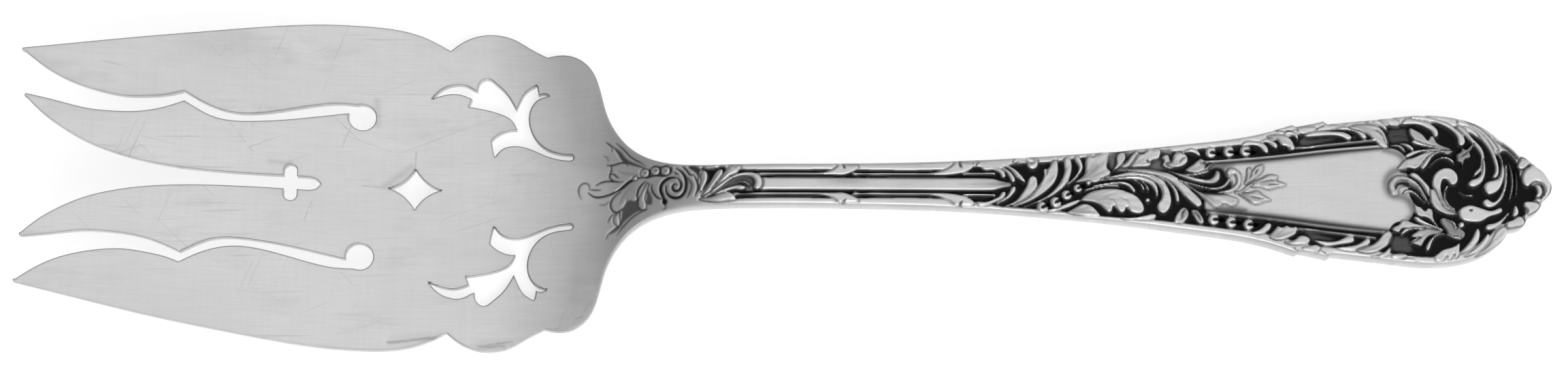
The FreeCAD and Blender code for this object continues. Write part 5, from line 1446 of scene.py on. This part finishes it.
def silver_material(look):
    """Brushed and lightly scratched silver, darkened with oxide in the carving's ground and with
    painted shade in places on the plate and the handle.
    """
    material = new_material("silver")
    nodes = SilverNodes(material.node_tree)
    mathed, ranged = nodes.mathed, nodes.ranged
    # the darkness carried on the skin: oxide in the carving, and painted shade along edges and over
    # parts of the carving
    tone = nodes.add("ShaderNodeAttribute")
    tone.attribute_name = "tarnish_and_painted_shade"
    tarnish_and_painted_shade = tone.outputs["Fac"]

    brushing = nodes.streaks(length=25.0, turn=0.02, fineness=4000.0, detail=3.0)
    across = nodes.streaks(length=12.0, turn=1.55, fineness=1600.0, detail=2.0)
    cloud = nodes.streaks(length=2.0, turn=0.0, fineness=55.0, detail=3.0)
    smudge = nodes.streaks(length=3.0, turn=0.1, fineness=240.0, detail=5.0)
    scratched = nodes.scratches(0.06, 2600.0, 0.68, 0.76)
    for turn, fineness in ((0.42, 2200.0), (-0.75, 2400.0), (1.2, 2500.0)):
        scratched = mathed("MAXIMUM", scratched, nodes.scratches(turn, fineness, 0.72, 0.78))
    worn = mathed("MULTIPLY", scratched, ranged(cloud, 0.42, 0.6))

    bright = tuple(look.silver)
    polished = nodes.mixed(ranged(cloud, 0.3, 0.7), tuple(0.9 * c for c in bright), bright)
    for cover, level in (
        (mathed("MULTIPLY", ranged(brushing, 0.35, 0.7), 0.3), 0.78),
        (mathed("MULTIPLY", ranged(across, 0.4, 0.7), 0.1), 0.7),
        (mathed("MULTIPLY", ranged(smudge, 0.55, 0.8), 0.4), 0.6),
        (mathed("MULTIPLY", worn, 0.4), 0.5),
        # marks of use, and soft tones of which the widest are painted shade
        (nodes.marks_and_painted_shade(), 0.3),
    ):
        polished = nodes.mixed(cover, polished, tuple(level * c for c in bright))
    colour = nodes.mixed(tarnish_and_painted_shade, polished, tuple(look.oxide))
    dull = mathed("ADD", mathed("MULTIPLY", tarnish_and_painted_shade, 0.2), look.roughness - 0.08)
    rough = mathed("ADD", mathed("MULTIPLY", brushing, 0.16), dull)
    grain = mathed("ADD", mathed("MULTIPLY", brushing, 0.5), mathed("MULTIPLY", worn, -0.8))
    bump = nodes.add("ShaderNodeBump", Strength=0.25, Distance=0.00002, Height=grain)
    surface = nodes.add("ShaderNodeBsdfPrincipled", Base_Color=colour, Roughness=rough,
                        Normal=bump.outputs[0], Metallic=1.0)
    nodes.add("ShaderNodeOutputMaterial", Surface=surface.outputs[0])
    return material


def table_material(look):
    """A plain pale surface that reads as white and keeps the fork's shadow."""
    material = new_material("pale table")
    nodes = Nodes(material.node_tree)
    place = nodes.add("ShaderNodeTexCoord").outputs["Object"]
    mottle = nodes.add("ShaderNodeTexNoise", Vector=place, Scale=30.0, Detail=2.0).outputs["Fac"]
    shade = nodes.add("ShaderNodeVectorMath")
    shade.operation = "SCALE"
    nodes.feed(shade.inputs[0], tuple(look.floor_colour))
    nodes.feed(shade.inputs["Scale"], nodes.ranged(mottle, 0.0, 1.0, bottom=0.985, top=1.0))
    diffuse = nodes.add("ShaderNodeBsdfDiffuse", Color=shade.outputs[0])
    path = nodes.add("ShaderNodeLightPath").outputs
    seen = nodes.mathed("MAXIMUM", path["Is Camera Ray"], path["Is Glossy Ray"])
    depth = nodes.add("ShaderNodeSeparateXYZ", Vector=place).outputs["Y"]
    lift = nodes.mathed("MULTIPLY", seen, nodes.ranged(depth, *TABLE_GLOW_DEPTHS, *TABLE_GLOW))
    glow = nodes.add("ShaderNodeEmission", Strength=lift)
    both = nodes.add("ShaderNodeAddShader")
    nodes.feed(both.inputs[0], diffuse.outputs[0])
    nodes.feed(both.inputs[1], glow.outputs[0])
    nodes.add("ShaderNodeOutputMaterial", Surface=both.outputs[0])
    return material


class FORK_OT_fork(bpy.types.Operator):
    """Makes the fork: the pierced plate, the neck, the stem and the carved handle"""

    bl_idname = "fork.make_fork"
    bl_label = "Fork"

    def execute(self, context):
        points, faces, tone = fork_mesh(context.scene.fork_sizes)
        mesh = bpy.data.meshes.new("fork")
        mesh.vertices.add(len(points))
        mesh.vertices.foreach_set("co", points.ravel())
        mesh.loops.add(faces.size)
        mesh.loops.foreach_set("vertex_index", faces.ravel())
        mesh.polygons.add(len(faces))
        mesh.polygons.foreach_set("loop_start", np.arange(0, faces.size, 3))
        mesh.update(calc_edges=True)
        if mesh.validate():
            raise RuntimeError("the fork's skin has bad faces")
        # the silver's darkness per point: oxide, and painted shade
        tarnish_and_painted_shade = mesh.attributes.new("tarnish_and_painted_shade", "FLOAT", "POINT")
        tarnish_and_painted_shade.data.foreach_set("value", tone)
        mesh.polygons.foreach_set("use_smooth", np.ones(len(faces), bool))
        mesh.set_sharp_from_angle(angle=math.radians(50.0))
        mesh.materials.append(silver_material(context.scene.silver_look))
        fork = bpy.data.objects.new("fork", mesh)
        context.scene.collection.objects.link(fork)
        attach(fork, "root")
        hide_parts(NODE)
        return {"FINISHED"}


class FORK_OT_stage(bpy.types.Operator):
    """Lays the table, hangs the lights and sets the camera"""

    bl_idname = "fork.make_stage"
    bl_label = "Stage"

    def execute(self, context):
        look = context.scene.stage_look
        self.lay_table(context, look)
        self.light_room(context, look)
        self.hang_lights(context, look)
        self.set_camera(context, look)
        context.scene.view_settings.view_transform = "Standard"
        return {"FINISHED"}

    def lay_table(self, context, look):
        """A flat square under the fork."""
        mesh = bpy.data.meshes.new("table")
        corners = [(x * TABLE_HALF, y * TABLE_HALF, 0.0)
                   for x, y in ((-1, -1), (1, -1), (1, 1), (-1, 1))]
        mesh.from_pydata(corners, [], [(0, 1, 2, 3)])
        mesh.materials.append(table_material(look))
        table = bpy.data.objects.new("table", mesh)
        table.location.z = -TABLE_GAP
        context.scene.collection.objects.link(table)

    def light_room(self, context, look):
        """Light from all round, lower at the tines' end and a little lower at the back."""
        world = bpy.data.worlds.new("room")
        context.scene.world = world
        world.use_nodes = True
        nodes = Nodes(world.node_tree)
        way = nodes.add("ShaderNodeTexCoord").outputs["Generated"]
        parts = nodes.add("ShaderNodeSeparateXYZ", Vector=way).outputs
        across = nodes.ranged(parts["X"], -0.6, 0.1, bottom=0.34 * look.world_level,
                              top=look.world_level, form="SMOOTHSTEP")
        back = nodes.ranged(parts["Y"], 0.3, 0.95, bottom=1.05, top=0.55)
        level = nodes.mathed("MULTIPLY", across, back)
        sky = nodes.add("ShaderNodeBackground", Strength=level)
        nodes.add("ShaderNodeOutputWorld", Surface=sky.outputs[0])

    def hang_lights(self, context, look):
        """A large soft light over the front of the table and a smaller one at the handle's end."""
        for name, spot, size, power in (
            ("main light", (0.05, -0.55, 0.75), 0.5, look.key_power),
            ("end light", (0.75, -0.1, 0.45), 0.3, 0.08 * look.key_power),
        ):
            data = bpy.data.lights.new(name, "AREA")
            data.shape = "DISK"
            data.size = size
            data.energy = power
            lamp = bpy.data.objects.new(name, data)
            lamp.location = spot
            lamp.rotation_euler = (-Vector(spot)).to_track_quat("-Z", "Y").to_euler()
            context.scene.collection.objects.link(lamp)

    def set_camera(self, context, look):
        """Looks down at the fork from 13 degrees off straight above."""
        data = bpy.data.cameras.new("camera")
        data.lens = look.lens
        data.sensor_width = 36.0
        data.clip_start = 0.01
        camera = bpy.data.objects.new("camera", data)
        elevation = math.radians(CAMERA_ELEVATION)
        away = Vector((0.0, -math.cos(elevation), math.sin(elevation)))
        camera.location = Vector(CAMERA_TARGET) + away * CAMERA_DISTANCE
        camera.rotation_euler = (-away).to_track_quat("-Z", "Y").to_euler()
        context.scene.collection.objects.link(camera)
        context.scene.camera = camera


class FORK_PT_panel(bpy.types.Panel):
    """Sizes, colours and the two makers"""

    bl_label = "Cold meat fork"
    bl_idname = "FORK_PT_panel"
    bl_space_type = "VIEW_3D"
    bl_region_type = "UI"
    bl_category = "Fork"

    def draw(self, context):
        for name in GROUPS:
            group = getattr(context.scene, name)
            box = self.layout.box()
            for setting in group.__annotations__:
                box.prop(group, setting)
        for operator in (FORK_OT_fork, FORK_OT_stage):
            self.layout.operator(operator.bl_idname)


CLASSES = (ForkSizes, SilverLook, StageLook, FORK_OT_fork, FORK_OT_stage, FORK_PT_panel)
GROUPS = {"fork_sizes": ForkSizes, "silver_look": SilverLook, "stage_look": StageLook}


def register():
    for kind in CLASSES:
        bpy.utils.register_class(kind)
    for name, kind in GROUPS.items():
        setattr(bpy.types.Scene, name, bpy.props.PointerProperty(type=kind))


def unregister():
    for name in GROUPS:
        delattr(bpy.types.Scene, name)
    for kind in reversed(CLASSES):
        bpy.utils.unregister_class(kind)


def main():
    """Makes everything."""
    register()
    bpy.ops.fork.make_fork()
    bpy.ops.fork.make_stage()


if __name__ == "__main__":
    main()
